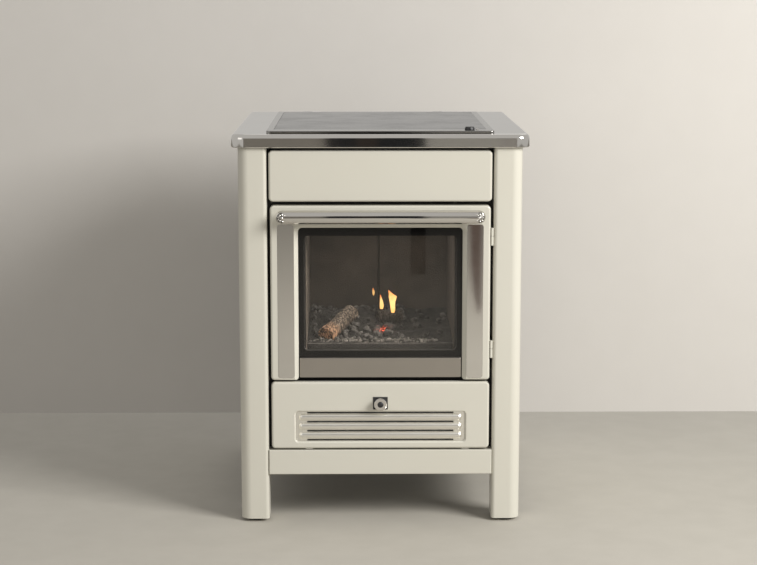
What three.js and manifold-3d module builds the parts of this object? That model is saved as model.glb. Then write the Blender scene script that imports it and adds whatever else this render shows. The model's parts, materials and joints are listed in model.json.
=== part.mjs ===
// Freestanding wood cookstove with a hob plate over the fire: four posts, a polished top frame, a glazed
// fire door with a bar handle, an ash drawer with a louvred air inlet, and the lined firebox inside.
//
// Millimetres, +Z up. The origin is on the floor under the middle of the stove, -Y is the front, +X is the
// right of someone who stands in front of it. The door hangs on the right, the drawer slides out to the
// front and the hob lifts on hinges at its rear edge.
import * as THREE from "three";
import { mergeVertices } from "three/addons/utils/BufferGeometryUtils.js";
import Module from "manifold-3d";

const wasm = await Module();
wasm.setup();

// ---------------------------------------------------------------------------------------------------------
// Driving dimensions
// ---------------------------------------------------------------------------------------------------------

// Overall: the top frame is the widest and, but for handle and flue, the deepest piece.
const STOVE_WIDTH = 600;
const STOVE_DEPTH = 680;
const STOVE_HEIGHT = 800;

// Clearances
const SEAT_GAP = 0.3; // round a piece that is set into a pocket cut for it
const MOVING_GAP = 0.3; // between a moving piece and what it rests on or slides along
const PIN_CLEARANCE = 0.15; // all round a hinge pin in its knuckle
const OVERCUT = 1; // how far a cutting body reaches past a face, and a joined one into its neighbour
const LEAST_CORNER = 0.4; // of a rounded corner that an inset has used up
const NEARLY_ROUND = 0.999; // of a half width, so that two corner arcs stay apart

// Top frame: a folded channel, open below, round the hob opening
const FRAME_RISE = 27;
const FRAME_WALL = 2.5;
const FRAME_NOSE = 10;
const FRAME_LOWER_EDGE = 1.5;
const FRAME_FRONT_CORNER = 28;
const FRAME_REAR_CORNER = 4;
const HOB_OPENING_WIDTH = 410;
const HOB_OPENING_FRONT = 57; // from the frame's front edge to the opening
const HOB_OPENING_DEPTH = 505;

// Posts and feet
const POST_WIDTH = 58.5;
const POST_DEPTH = 60;
const POST_WALL = 2.5;
const POST_OUTER_CORNER = 22;
const POST_INNER_CORNER = 8;
const POST_REAR_CORNER = 3;
const POST_SIDE_SETBACK = 13;
const POST_FRONT_SETBACK = 8;
const POST_END_PLATE = 4;
const FOOT_HEIGHT = 6.5;
const FOOT_RADIUS = 18;
const FOOT_STEM_RADIUS = 5;
const FOOT_STEM_LENGTH = 24;
const FOOT_SHOULDER = 0.7; // share of the pad's height under its chamfer
const FOOT_CHAMFER = 2;

// The stack of front panels, from the floor up
const PLINTH_CLEARANCE = 100.3;
const PLINTH_HEIGHT = 51.2;
const DRAWER_GAP = 3.2;
const DRAWER_HEIGHT = 139.3;
const DOOR_GAP = 4;
const UPPER_PANEL_HEIGHT = 103;
const PANEL_GAP = 8;
const PANEL_TOP_GAP = 6;
const DOOR_SIDE_GAP = 6;
const PANEL_SIDE_GAP = 4;
const FRONT_SHEET = 2;
const FRONT_CORNER = 8;
const FRONT_EDGE = 4.5;
const SKIN_SHEET = 1.5;
const SKIN_DEPTH = 20;
const SKIN_INSET = 3; // side and back panels lie this far inside the posts' faces
const PANEL_TUCK = 12; // how far they reach up into the top frame
const FACE_FRAME_SETBACK = 32; // behind the posts' front face
const FACE_FRAME_SHEET = 3;

// Fire door
const DOOR_DEPTH = 28;
const DOOR_LEG_WIDTH = 56;
const DOOR_BEVEL = 8;
const DOOR_BEVEL_RUNOUT = 30; // below the door's lower edge
const DOOR_BAND_HEIGHT = 45.4;
const DOOR_FOOT_CORNER = 6.5;
const WINDOW_CORNER = 8;
const GLASS_THICKNESS = 4;
const GLASS_TRIM_GAP = 1.6;
const TRIM_HEIGHT = 40.5;
const TRIM_LIFT = 4.5;
const TRIM_SIDE_GAP = 2;
const TRIM_THICKNESS = 6;
const TRIM_CORNER = 2;
const TRIM_EDGE = 1.5;
const STRIP_WIDTH = 33.4;
const STRIP_BOTTOM_LIP = 4.6;
const STRIP_TOP_LIP = 38;
const STRIP_THICKNESS = 2;
const STRIP_RECESS = 1.5;
const STRIP_CORNER = 5;
const LINER_BORDER_SIDE = 11.4; // of the door liner, behind the glass's dark border
const LINER_BORDER_TOP = 16.8;
const LINER_BORDER_BOTTOM = 13;
const LINER_THICKNESS = 15;
const ROPE_RADIUS = 3.5;
const ROPE_GROOVE_DEPTH = 2.6;
const ROPE_OUTSIDE_OPENING = 33; // from the side and lower edges of the firebox opening to the rope's centre
const ROPE_ABOVE_OPENING = 7;
const ROPE_CORNER = 22;
const HANDLE_LENGTH = 421;
const HANDLE_HEIGHT = 27;
const HANDLE_THICKNESS = 14;
const HANDLE_STANDOFF = 20;
const HANDLE_BELOW_TOP = 21;
const HANDLE_POST_RADIUS = 6;
const HANDLE_POST_INSET = 27.5;
const BAR_CREST = 0.12; // share of its half height that a domed bar keeps at its crest

// Door hinges, in the gap at the door's right edge
const HINGE_KNUCKLE_RADIUS = 3;
const HINGE_PIN_RADIUS = 1.8;
const HINGE_LEAF = 1.5;
const HINGE_LEAF_DEPTH = 22;
const HINGE_SPLIT = 1.5;
const HINGE_LOWER_KNUCKLE = 18;
const HINGE_UPPER_KNUCKLE = 16;
const HINGE_SETBACK = 2.5; // the axis lies this far behind the door's front face
const HINGE_LOWER_FOOT = 46; // above the door's lower edge
const HINGE_UPPER_FOOT = 81; // below the door's upper edge

// Roller catch behind the face frame, and the striker on the door that it holds
const CATCH_ROLLER_RADIUS = 5;
const CATCH_ROLLER_LENGTH = 10;
const CATCH_PIN_RADIUS = 2;
const CATCH_EAR = 1.5;
const CATCH_HEIGHT = 174; // above the door's lower edge
const CATCH_SHELL_GAP = 3; // between the catch and the firebox's side
const STRIKER_THICKNESS = 3;
const STRIKER_REACH = 22;
const STRIKER_HEIGHT = 9;
const STRIKER_SLOT_PLAY = 3;
const STRIKER_SLOT_RISE = 1; // over and under the striker

// Ash drawer and its louvred air inlet
const DRAWER_DEPTH = 14;
const ASH_BOX_WIDTH = 393;
const ASH_BOX_FRONT_SETBACK = 42; // behind the drawer's front face
const ASH_BOX_LENGTH = 330;
const ASH_BOX_HEIGHT = 125;
const ASH_BOX_SHEET = 1.5;
const ASH_EAR_HEIGHT = 120;
const RUNNER_THICKNESS = 2;
const RUNNER_BASE = 20;
const RUNNER_HEIGHT = 38;
const RUNNER_PLAY = 0.5;
const LOUVRE_WIDTH = 346;
const LOUVRE_HEIGHT = 62;
const LOUVRE_LIFT = 14.8; // of its lower edge above the drawer's
const LOUVRE_CORNER = 6;
const LOUVRE_LIP = 3;
const LOUVRE_LIP_DEPTH = 10;
const LOUVRE_LIP_BEVEL = 3;
const SLAT_COUNT = 3;
const SLAT_PITCH = 19;
const SLAT_HEIGHT = 15;
const SLAT_RISE = 5.5;
const SLAT_ROOT = 0.5; // how deep a slat is let into its plate
const GRILLE_SHEET = 1.5;
const GRILLE_RECESS = 6;
const SLOT_LENGTH = 300;
const SLOT_HEIGHT = 3.2;

// Air control: knob, crank and sliding shutter
const KNOB_ABOVE_DRAWER = 95.3;
const KNOB_RADIUS = 13;
const KNOB_LENGTH = 15;
const KNOB_BASE_INSET = 2; // from the rim, where the knob meets its plate
const KNOB_WAIST_INSET = 1;
const KNOB_WAIST = 0.5; // these three are shares of the knob's length
const KNOB_SHOULDER = 0.7;
const KNOB_BROW = 0.88;
const KNOB_EDGE = 1.5;
const KNOB_DISH = 0.5; // share of the radius
const KNOB_SHAFT_RADIUS = 4;
const KNOB_PLATE_WIDTH = 30;
const KNOB_PLATE_HEIGHT = 26;
const KNOB_PLATE_SHEET = 1.2;
const CRANK_RADIUS = 14;
const CRANK_ARM = 3;
const CRANK_MARGIN = 2; // of the arm round its shaft
const CRANK_PIN_RADIUS = 2;
const CRANK_SLOT_PLAY = 0.6;
const CRANK_SLOT_END = 1; // left free at the end of the pin's path
const CRANK_TURN = Math.PI / 6;
const SHUTTER_SHEET = 1.2;
const SHUTTER_OVERLAP = 5;
const SHUTTER_TONGUE_WIDTH = 24;
const SHUTTER_TONGUE_MARGIN = 4; // over the pin's slot
const SHUTTER_GUIDE = 3;

// Hob: lifting frame and cooking plate
const HOB_FRAME_WIDTH = 458;
const HOB_FRAME_DEPTH = 573;
const HOB_FRONT_SETBACK = 17; // behind the top frame's front edge
const HOB_FRAME_RISE = 5.7;
const HOB_FRAME_CORNER = 8;
const HOB_FRAME_EDGE = 1.5;
const HOB_SIDE_MARGIN = 14;
const HOB_FRONT_MARGIN = 32;
const HOB_REAR_MARGIN = 20;
const HOB_PLATE_THICKNESS = 4;
const HOB_PLATE_CORNER = 4;
const HOB_LEDGE = 8;
const HOB_KNOB_RADIUS = 10;
const HOB_KNOB_HEIGHT = 7;
const HOB_KNOB_SHOULDER = 0.55; // share of its height
const HOB_KNOB_CHAMFER = 2;
const HOB_KNOB_SETBACK = 18; // behind the hob frame's front edge
const HOB_KNOB_OFFSET = 180; // to the right of the middle
const HOB_STUD_RADIUS = 3;
const HOB_STUD_HEIGHT = 3.5;
const HOB_STUD_SHOULDER = 0.5; // share of its height
const HOB_STUD_BROW = 0.9;
const HOB_STUD_CROWN = 0.6; // share of its radius
const HOB_STUD_OFFSET = 15; // from the knob's centre
const HOB_HINGE_SPACING = 300;
const HOB_KNUCKLE_RADIUS = 3;
const HOB_KNUCKLE_LENGTH = 22;
const HOB_PIN_RADIUS = 1.6;
const HOB_HINGE_FLANGE = 24;
const HOB_HINGE_FLANGE_SHEET = 1.5;

// Firebox
const OPENING_WIDTH = 304;
const OPENING_SILL = 54; // above the door's lower edge
const OPENING_HEAD = 16; // below the door's upper edge
const DRAWER_OPENING_WIDTH = 412;
const DRAWER_OPENING_LIP = 4; // of the face frame, behind the drawer front's upper edge
const FIREBOX_DEPTH = 340;
const FIREBOX_ABOVE_DRAWER = 41;
const SHELL_WALL = 3;
const BRICK_THICKNESS = 30;
const BRICK_FRONT_SETBACK = 5;
const BRICK_CHAMFER = 3;
const FIREBOX_INNER_WIDTH = 300;
const HEARTH_THICKNESS = 8;
const GRATE_WIDTH = 120;
const GRATE_DEPTH = 120;
const GRATE_SETBACK = 100; // of its front edge behind the bricks' front
const GRATE_THICKNESS = 4;
const GRATE_LEDGE = 5;
const GRATE_BARS = 9;
const GRATE_SLOT = 6;
const GRATE_BORDER = 15; // from the grate's sides to the ends of its slots
const GUARD_THICKNESS = 6;
const GUARD_HEIGHT = 20.5;
const GUARD_SETBACK = 12;
const GUARD_EDGE = 2;
const GUARD_CORNER = 0.5;
const BAFFLE_THICKNESS = 10;
const BAFFLE_THROAT = 90; // left free at the front for the smoke
const SMOKE_ABOVE_BAFFLE = 5;
const REAR_BOX_BELOW_FLUE = 85; // floor of the smoke chamber's deeper rear part, below the flue's axis
const FLUE_RADIUS = 60;
const FLUE_WALL = 3;
const FLUE_BELOW_TOP = 103;
const FLUE_FLANGE_RADIUS = 74;
const FLUE_FLANGE_SHEET = 3;
const FLUE_PANEL_GAP = 2;

// Fuel: a bed of embers that rises to the rear, with two short logs lying in it
const BED_FRONT_RISE = 20;
const BED_REAR_RISE = 52;
const BED_LUMP = 6;
const BED_COLUMNS = 18;
const BED_ROWS = 13;
const BED_WAVES = [[23, 5], [7, 19]]; // radians over the bed's width and depth, of its two waves
const LOG_TAPER = 0.9;
const LOG_SIDES = 10;
const LOG_FRONT = { from: [-114, 28, 31], to: [-58, 118, 65], radius: 15 };
const LOG_REAR = { from: [-8, 138, 52], to: [52, 152, 50], radius: 14 };

// Facets of round forms
const ARC_STEPS = 3; // half the facets of a quarter turn on a rounded outline
const EDGE_STEPS = 3; // facets across a rounded front edge
const ROUND_FACETS = 20;
const FLUE_FACETS = 36;
const KNOB_FACETS = 24;
const PIN_FACETS = 16;
const SMALL_FACETS = 12;
const NOSE_STEPS = 5; // across the top frame's rounded edge
const FINE_ARC_STEPS = 4;
const HANDLE_STEPS = 5; // up the domes of the handle and the slats
const SLAT_STEPS = 4;
const ROPE_SIDES = 8;

// ---------------------------------------------------------------------------------------------------------
// Places worked out from those dimensions
// ---------------------------------------------------------------------------------------------------------

const frameFront = -STOVE_DEPTH / 2;
const frameRear = STOVE_DEPTH / 2;
const frameBottom = STOVE_HEIGHT - FRAME_RISE;
const hobOpeningFront = frameFront + HOB_OPENING_FRONT;
const hobOpeningRear = hobOpeningFront + HOB_OPENING_DEPTH;

const postOuter = STOVE_WIDTH / 2 - POST_SIDE_SETBACK;
const postInner = postOuter - POST_WIDTH;
const bodyFront = frameFront + POST_FRONT_SETBACK;
const bodyRear = -bodyFront;
const postFlank = bodyRear - POST_DEPTH; // the y, front and rear, where the side panels meet the posts

const plinthTop = PLINTH_CLEARANCE + PLINTH_HEIGHT;
const drawerBottom = plinthTop + DRAWER_GAP;
const drawerTop = drawerBottom + DRAWER_HEIGHT;
const doorBottom = drawerTop + DOOR_GAP;
const panelTop = frameBottom - PANEL_TOP_GAP;
const panelBottom = panelTop - UPPER_PANEL_HEIGHT;
const doorTop = panelBottom - PANEL_GAP;
const doorHalf = postInner - DOOR_SIDE_GAP;
const panelHalf = postInner - PANEL_SIDE_GAP;
const skinTop = frameBottom + PANEL_TUCK;
const faceFrameFront = bodyFront + FACE_FRAME_SETBACK;
const faceFrameRear = faceFrameFront + FACE_FRAME_SHEET;
const openingBottom = doorBottom + OPENING_SILL;
const openingTop = doorTop - OPENING_HEAD;

const windowHalf = doorHalf - DOOR_LEG_WIDTH;
const windowTop = doorTop - DOOR_BAND_HEIGHT;
const glassFront = bodyFront + DOOR_BEVEL;
const linerFront = glassFront + GLASS_THICKNESS;
const linerRear = linerFront + LINER_THICKNESS;
const trimBottom = doorBottom + TRIM_LIFT;
const glassBottom = trimBottom + TRIM_HEIGHT + GLASS_TRIM_GAP;
const handleHeight = doorTop - HANDLE_BELOW_TOP;
const handleBack = bodyFront - HANDLE_STANDOFF;
const handleFront = handleBack - HANDLE_THICKNESS;

const hingeX = (doorHalf + postInner) / 2;
const hingeY = bodyFront + HINGE_SETBACK;

const ashBoxBottom = plinthTop + RUNNER_THICKNESS + MOVING_GAP;
const louvreBottom = drawerBottom + LOUVRE_LIFT;
const louvreMiddle = louvreBottom + LOUVRE_HEIGHT / 2;
const knobHeight = drawerBottom + KNOB_ABOVE_DRAWER;
const grilleFront = bodyFront + GRILLE_RECESS;
const shutterFront = bodyFront + LOUVRE_LIP_DEPTH + MOVING_GAP;
const shutterRear = shutterFront + SHUTTER_SHEET;

const hobFrameFront = frameFront + HOB_FRONT_SETBACK;
const hobFrameRear = hobFrameFront + HOB_FRAME_DEPTH;
const hobBottom = STOVE_HEIGHT + MOVING_GAP;
const hobTop = hobBottom + HOB_FRAME_RISE;
const hobAxisY = hobFrameRear + MOVING_GAP + HOB_KNUCKLE_RADIUS;
const hobAxisZ = hobBottom + HOB_KNUCKLE_RADIUS;

const fireboxRear = faceFrameRear + FIREBOX_DEPTH;
const brickFront = faceFrameRear + BRICK_FRONT_SETBACK;
const fireboxFloor = drawerTop + FIREBOX_ABOVE_DRAWER;
const brickBottom = fireboxFloor + SHELL_WALL;
const brickTop = openingTop;
const brickOuter = FIREBOX_INNER_WIDTH / 2 + BRICK_THICKNESS;
const shellHalf = brickOuter + SEAT_GAP + SHELL_WALL;
const backBrickFront = fireboxRear - SHELL_WALL - SEAT_GAP - BRICK_THICKNESS;
const hearthTop = brickBottom + HEARTH_THICKNESS;
const grateFront = brickFront + GRATE_SETBACK;
const grateRear = grateFront + GRATE_DEPTH;
const guardFront = brickFront + GUARD_SETBACK - GUARD_THICKNESS;
const fuelFloor = hearthTop + SEAT_GAP;
const smokeFloor = brickTop + BAFFLE_THICKNESS + SMOKE_ABOVE_BAFFLE;
const smokeRear = hobOpeningRear + SHELL_WALL;
const flueHeight = STOVE_HEIGHT - FLUE_BELOW_TOP;
const rearBoxFloor = flueHeight - REAR_BOX_BELOW_FLUE;
const flueEnd = -handleFront; // the flue reaches as far behind the origin as the handle stands before it

// ---------------------------------------------------------------------------------------------------------
// Finishes
// ---------------------------------------------------------------------------------------------------------

/** A material with the finish's colour, roughness and metalness. */
function finish(color, roughness, metalness) {
  return () => new THREE.MeshStandardMaterial({ color, roughness, metalness });
}

const creamEnamel = finish(0xd8d2bf, 0.32, 0);
const polishedSteel = finish(0xb9b7b2, 0.12, 1);
const satinSteel = finish(0x8f877d, 0.38, 1);
const stovePaint = finish(0x1d1c1b, 0.6, 0.3);
const blackPlastic = finish(0x121212, 0.45, 0);
const galvanised = finish(0x8b8d8e, 0.5, 0.9);
const castIron = finish(0x2b2927, 0.75, 0.6);
const firebrick = finish(0x5d544b, 0.95, 0);
const fireGlass = finish(0x1c1a18, 0.05, 0);
const hobGlass = finish(0x2a2b2c, 0.12, 0);
const glassRope = finish(0x3a3835, 0.95, 0);
const embers = finish(0x5a5754, 0.95, 0);
const charredWood = finish(0x4b3a2c, 0.9, 0);

// ---------------------------------------------------------------------------------------------------------
// Geometry helpers
// ---------------------------------------------------------------------------------------------------------

/** The closed geometry as a solid that can be joined and cut. */
function solid(geometry) {
  const bare = geometry.clone();
  bare.deleteAttribute("normal");
  bare.deleteAttribute("uv");
  const merged = mergeVertices(bare, 1e-4);
  return new wasm.Manifold(
    new wasm.Mesh({
      numProp: 3,
      vertProperties: new Float32Array(merged.attributes.position.array),
      triVerts: new Uint32Array(merged.index.array),
    }),
  );
}

/** The solid back as a geometry for a mesh. */
function geometryOf(body) {
  const { vertProperties, triVerts } = body.getMesh();
  const geometry = new THREE.BufferGeometry();
  geometry.setAttribute("position", new THREE.BufferAttribute(vertProperties, 3));
  geometry.setIndex(new THREE.BufferAttribute(triVerts, 1));
  return geometry;
}

/** The first geometry with the others joined to it. */
function join(first, ...others) {
  return geometryOf(others.reduce((body, other) => body.add(solid(other)), solid(first)));
}

/** The first geometry with the others cut out of it. */
function cut(first, ...tools) {
  return geometryOf(tools.reduce((body, tool) => body.subtract(solid(tool)), solid(first)));
}

/** A box between two corners. */
function block(x0, x1, y0, y1, z0, z1) {
  const box = new THREE.BoxGeometry(x1 - x0, y1 - y0, z1 - z0);
  return box.translate((x0 + x1) / 2, (y0 + y1) / 2, (z0 + z1) / 2);
}

/** A cylinder with its axis along X, Y or Z, from one end to the other. */
function rod(axis, radius, from, to, centre, facets = ROUND_FACETS) {
  const cylinder = new THREE.CylinderGeometry(radius, radius, to - from, facets);
  const middle = (from + to) / 2;
  if (axis === "x") return cylinder.rotateZ(Math.PI / 2).translate(middle, centre[0], centre[1]);
  if (axis === "y") return cylinder.translate(centre[0], middle, centre[1]);
  return cylinder.rotateX(Math.PI / 2).translate(centre[0], centre[1], middle);
}

/** A rounded rectangle; the radii run from the lower left corner anticlockwise. */
function roundedRect(left, bottom, right, top, radii) {
  const [first, second, third, fourth] = Array.isArray(radii) ? radii : [radii, radii, radii, radii];
  const quarter = Math.PI / 2;
  const shape = new THREE.Shape();
  shape.moveTo(left + first, bottom);
  shape.lineTo(right - second, bottom);
  shape.absarc(right - second, bottom + second, second, -quarter, 0);
  shape.lineTo(right, top - third);
  shape.absarc(right - third, top - third, third, 0, quarter);
  shape.lineTo(left + fourth, top);
  shape.absarc(left + fourth, top - fourth, fourth, quarter, 2 * quarter);
  shape.lineTo(left, bottom + first);
  shape.absarc(left + first, bottom + first, first, 2 * quarter, 3 * quarter);
  return shape;
}

/** The shape's outline as points, each one apart from the next. */
function outline(shape, steps = ARC_STEPS) {
  const points = shape.getPoints(steps);
  return points.filter((point, i) => point.distanceTo(points[(i + 1) % points.length]) > 1e-6);
}

/** One body along +Z through outlines of equal length, each at its own level. */
function stack(layers) {
  const count = layers[0].points.length;
  const corners = layers.flatMap(({ points, level }) => points.flatMap(({ x, y }) => [x, y, level]));
  const faces = [];
  for (let start = 0; start + count < corners.length / 3; start += count) {
    for (let i = 0; i < count; i += 1) {
      const here = start + i;
      const next = start + ((i + 1) % count);
      faces.push(here, next, next + count, here, next + count, here + count);
    }
  }
  const last = count * (layers.length - 1);
  for (const [a, b, c] of THREE.ShapeUtils.triangulateShape(layers[0].points, [])) faces.push(c, b, a);
  for (const [a, b, c] of THREE.ShapeUtils.triangulateShape(layers[layers.length - 1].points, [])) {
    faces.push(last + a, last + b, last + c);
  }
  const geometry = new THREE.BufferGeometry();
  geometry.setAttribute("position", new THREE.Float32BufferAttribute(corners, 3));
  geometry.setIndex(faces);
  return geometry;
}

/** Turns a body drawn in (x, height) and built up towards the viewer so that it faces the front, -Y. */
function facingFront(geometry) {
  return geometry.rotateX(Math.PI / 2);
}

/** A shape in (x, height) as a plate between two values of y. */
function frontPlate(shape, y0, y1, steps = ARC_STEPS) {
  const points = outline(shape, steps);
  return facingFront(stack([{ points, level: -y1 }, { points, level: -y0 }]));
}

/** A shape in (x, y) as a plate between two heights. */
function levelPlate(shape, z0, z1, steps = ARC_STEPS) {
  const points = outline(shape, steps);
  return stack([{ points, level: z0 }, { points, level: z1 }]);
}

/** Levels and insets of a straight flank that ends in a rounded edge. */
function roundedEdge(from, to, radius, steps = EDGE_STEPS) {
  const levels = [{ level: from, inset: 0 }];
  for (let i = 0; i <= steps; i += 1) {
    const angle = (i / steps) * (Math.PI / 2);
    levels.push({ level: to - radius * (1 - Math.sin(angle)), inset: radius * (1 - Math.cos(angle)) });
  }
  return levels;
}

/** A stack over an outline that depends on its inset. */
function insetStack(shapeAt, levels, steps = ARC_STEPS) {
  return stack(levels.map(({ level, inset }) => ({ points: outline(shapeAt(inset), steps), level })));
}

/** A corner radius that an inset has shrunk, never quite to nothing. */
function shrunk(radius, inset) {
  return Math.max(radius - inset, LEAST_CORNER);
}

/** A panel that faces the front, with rounded front edges and corners. */
function pressedPanel(left, bottom, right, top, depth, options = {}) {
  const { corner = FRONT_CORNER, edge = FRONT_EDGE, front = bodyFront } = options;
  const shapeAt = (inset) =>
    roundedRect(left + inset, bottom + inset, right - inset, top - inset, shrunk(corner, inset));
  return facingFront(insetStack(shapeAt, roundedEdge(-front - depth, -front, edge)));
}

/** The hollow behind such a panel. */
function panelHollow(left, bottom, right, top, depth, sheet) {
  const rear = bodyFront + depth + OVERCUT;
  return block(left + sheet, right - sheet, bodyFront + sheet, rear, bottom + sheet, top - sheet);
}

/** A bar with a flat back, a domed front and round ends: its back at y, its length along X. */
function domedBar(length, height, rise, back, steps) {
  const radius = height / 2;
  const straight = length / 2 - radius;
  const tipRadius = BAR_CREST * radius;
  const levels = [];
  for (let i = 0; i <= steps; i += 1) {
    const inset = (radius - tipRadius) * (1 - Math.cos((i / steps) * (Math.PI / 2)));
    const level = rise * Math.sin((i / steps) * (Math.PI / 2));
    levels.push({ level: level - back, inset });
  }
  const shapeAt = (inset) => {
    const end = radius - inset;
    return roundedRect(-straight - end, -end, straight + end, end, end * NEARLY_ROUND);
  };
  return facingFront(insetStack(shapeAt, levels, FINE_ARC_STEPS));
}

/** A closed profile of (radius, height) points turned about Z. */
function revolved(profile, facets = ROUND_FACETS) {
  const points = profile.map(([radius, height]) => new THREE.Vector2(radius, height));
  return new THREE.LatheGeometry(points, facets).rotateX(Math.PI / 2);
}

/** The same body mirrored to the other side of the YZ plane. */
function mirrored(geometry) {
  const flipped = geometry.index ? geometry.toNonIndexed() : geometry.clone();
  const { array } = flipped.attributes.position;
  for (let i = 0; i < array.length; i += 9) {
    for (let axis = 0; axis < 3; axis += 1) {
      const sign = axis === 0 ? -1 : 1;
      const second = array[i + 3 + axis];
      array[i + axis] *= sign;
      array[i + 3 + axis] = sign * array[i + 6 + axis];
      array[i + 6 + axis] = sign * second;
    }
  }
  flipped.deleteAttribute("normal");
  return flipped;
}

const stove = new THREE.Group();

/** Adds a named mesh to a group of the stove. */
function piece(group, name, geometry, material) {
  const mesh = new THREE.Mesh(geometry, material());
  mesh.name = name;
  mesh.geometry.computeVertexNormals();
  group.add(mesh);
  return mesh;
}

/** Adds a group to the stove, or to the group that carries it. */
function assembly(parent = stove) {
  const group = new THREE.Group();
  parent.add(group);
  return group;
}

// ---------------------------------------------------------------------------------------------------------
// Body: posts, feet, top frame, panels
// ---------------------------------------------------------------------------------------------------------

/** How high a post can rise under the rounded edge of the top frame. */
function postTop() {
  const inner = FRAME_NOSE - FRAME_WALL;
  const outward = Math.max(FRAME_NOSE - Math.min(POST_FRONT_SETBACK, POST_SIDE_SETBACK), 0);
  return STOVE_HEIGHT - FRAME_NOSE + Math.sqrt(Math.max(inner ** 2 - outward ** 2, 0)) - SEAT_GAP;
}

/** The front right post: a rounded square tube with an end plate for its foot. */
function postGeometry() {
  const front = bodyFront;
  const rear = bodyFront + POST_DEPTH;
  const shapeAt = (inset) =>
    roundedRect(postInner + inset, front + inset, postOuter - inset, rear - inset, [
      shrunk(POST_INNER_CORNER, inset),
      shrunk(POST_OUTER_CORNER, inset),
      shrunk(POST_REAR_CORNER, inset),
      shrunk(POST_REAR_CORNER, inset),
    ]);
  const tube = levelPlate(shapeAt(0), FOOT_HEIGHT, postTop(), FINE_ARC_STEPS);
  const bore = levelPlate(shapeAt(POST_WALL), FOOT_HEIGHT + POST_END_PLATE, STOVE_HEIGHT, FINE_ARC_STEPS);
  const centre = [(postInner + postOuter) / 2, (front + rear) / 2];
  const holeTop = FOOT_HEIGHT + 2 * POST_END_PLATE;
  const hole = rod("z", FOOT_STEM_RADIUS + SEAT_GAP, 0, holeTop, centre, SMALL_FACETS);
  return cut(tube, bore, hole);
}

/** A levelling foot: a pad with the stem that screws into the post. */
function footGeometry() {
  const shoulder = FOOT_SHOULDER * FOOT_HEIGHT;
  const profile = [
    [0, 0],
    [FOOT_RADIUS, 0],
    [FOOT_RADIUS, shoulder],
    [FOOT_RADIUS - FOOT_CHAMFER, FOOT_HEIGHT],
    [FOOT_STEM_RADIUS, FOOT_HEIGHT],
    [FOOT_STEM_RADIUS, FOOT_HEIGHT + FOOT_STEM_LENGTH],
    [0, FOOT_HEIGHT + FOOT_STEM_LENGTH],
  ];
  const centreY = bodyFront + POST_DEPTH / 2;
  return revolved(profile, PIN_FACETS).translate((postInner + postOuter) / 2, centreY, 0);
}

function addPosts() {
  const group = assembly();
  for (const [row, turned] of [["front", false], ["rear", true]]) {
    for (const side of ["right", "left"]) {
      for (const [name, make, material] of [
        ["post", postGeometry, creamEnamel],
        ["foot", footGeometry, blackPlastic],
      ]) {
        // A rear piece is the opposite front piece turned half round.
        const fromLeft = (side === "left") !== turned;
        const geometry = fromLeft ? mirrored(make()) : make();
        const placed = turned ? geometry.rotateZ(Math.PI) : geometry;
        piece(group, `${name}_${row}_${side}`, placed, material);
      }
    }
  }
}

/** Plan outline of the top frame, drawn in from its edge. */
function framePlan(inset) {
  const half = STOVE_WIDTH / 2 - inset;
  const front = shrunk(FRAME_FRONT_CORNER, inset);
  const rear = shrunk(FRAME_REAR_CORNER, inset);
  return roundedRect(-half, frameFront + inset, half, frameRear - inset, [front, front, rear, rear]);
}

function addTopFrame() {
  const outerLevels = [
    { level: frameBottom, inset: FRAME_LOWER_EDGE },
    ...roundedEdge(frameBottom + FRAME_LOWER_EDGE, STOVE_HEIGHT, FRAME_NOSE, NOSE_STEPS),
  ];
  const inner = FRAME_NOSE - FRAME_WALL;
  const hollowLevels = roundedEdge(frameBottom - OVERCUT, STOVE_HEIGHT - FRAME_WALL, inner, NOSE_STEPS);
  const hollow = insetStack((inset) => framePlan(inset + FRAME_WALL), hollowLevels);
  const half = HOB_OPENING_WIDTH / 2;
  const [front, rear] = [hobOpeningFront, hobOpeningRear];
  const low = frameBottom - 2 * OVERCUT;
  const high = STOVE_HEIGHT + OVERCUT;
  const core = block(
    -half - FRAME_WALL, half + FRAME_WALL, front - FRAME_WALL, rear + FRAME_WALL, low, high,
  );
  const opening = block(-half, half, front, rear, low, high);
  const channel = cut(hollow, core);
  piece(assembly(), "top_frame", cut(insetStack(framePlan, outerLevels), channel, opening), polishedSteel);
}

function addFrontPanels() {
  const group = assembly();
  const depth = FACE_FRAME_SETBACK;
  const upper = cut(
    pressedPanel(-panelHalf, panelBottom, panelHalf, panelTop, depth),
    panelHollow(-panelHalf, panelBottom, panelHalf, panelTop, depth, FRONT_SHEET),
  );
  piece(group, "upper_panel", upper, creamEnamel);
  const railDepth = faceFrameRear - bodyFront;
  const railEdges = { corner: 0, edge: FRONT_SHEET };
  const rail = cut(
    pressedPanel(-postInner, PLINTH_CLEARANCE, postInner, plinthTop, railDepth, railEdges),
    panelHollow(-postInner, PLINTH_CLEARANCE, postInner, plinthTop, railDepth, FRONT_SHEET),
  );
  piece(group, "plinth_rail", rail, creamEnamel);
}

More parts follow.
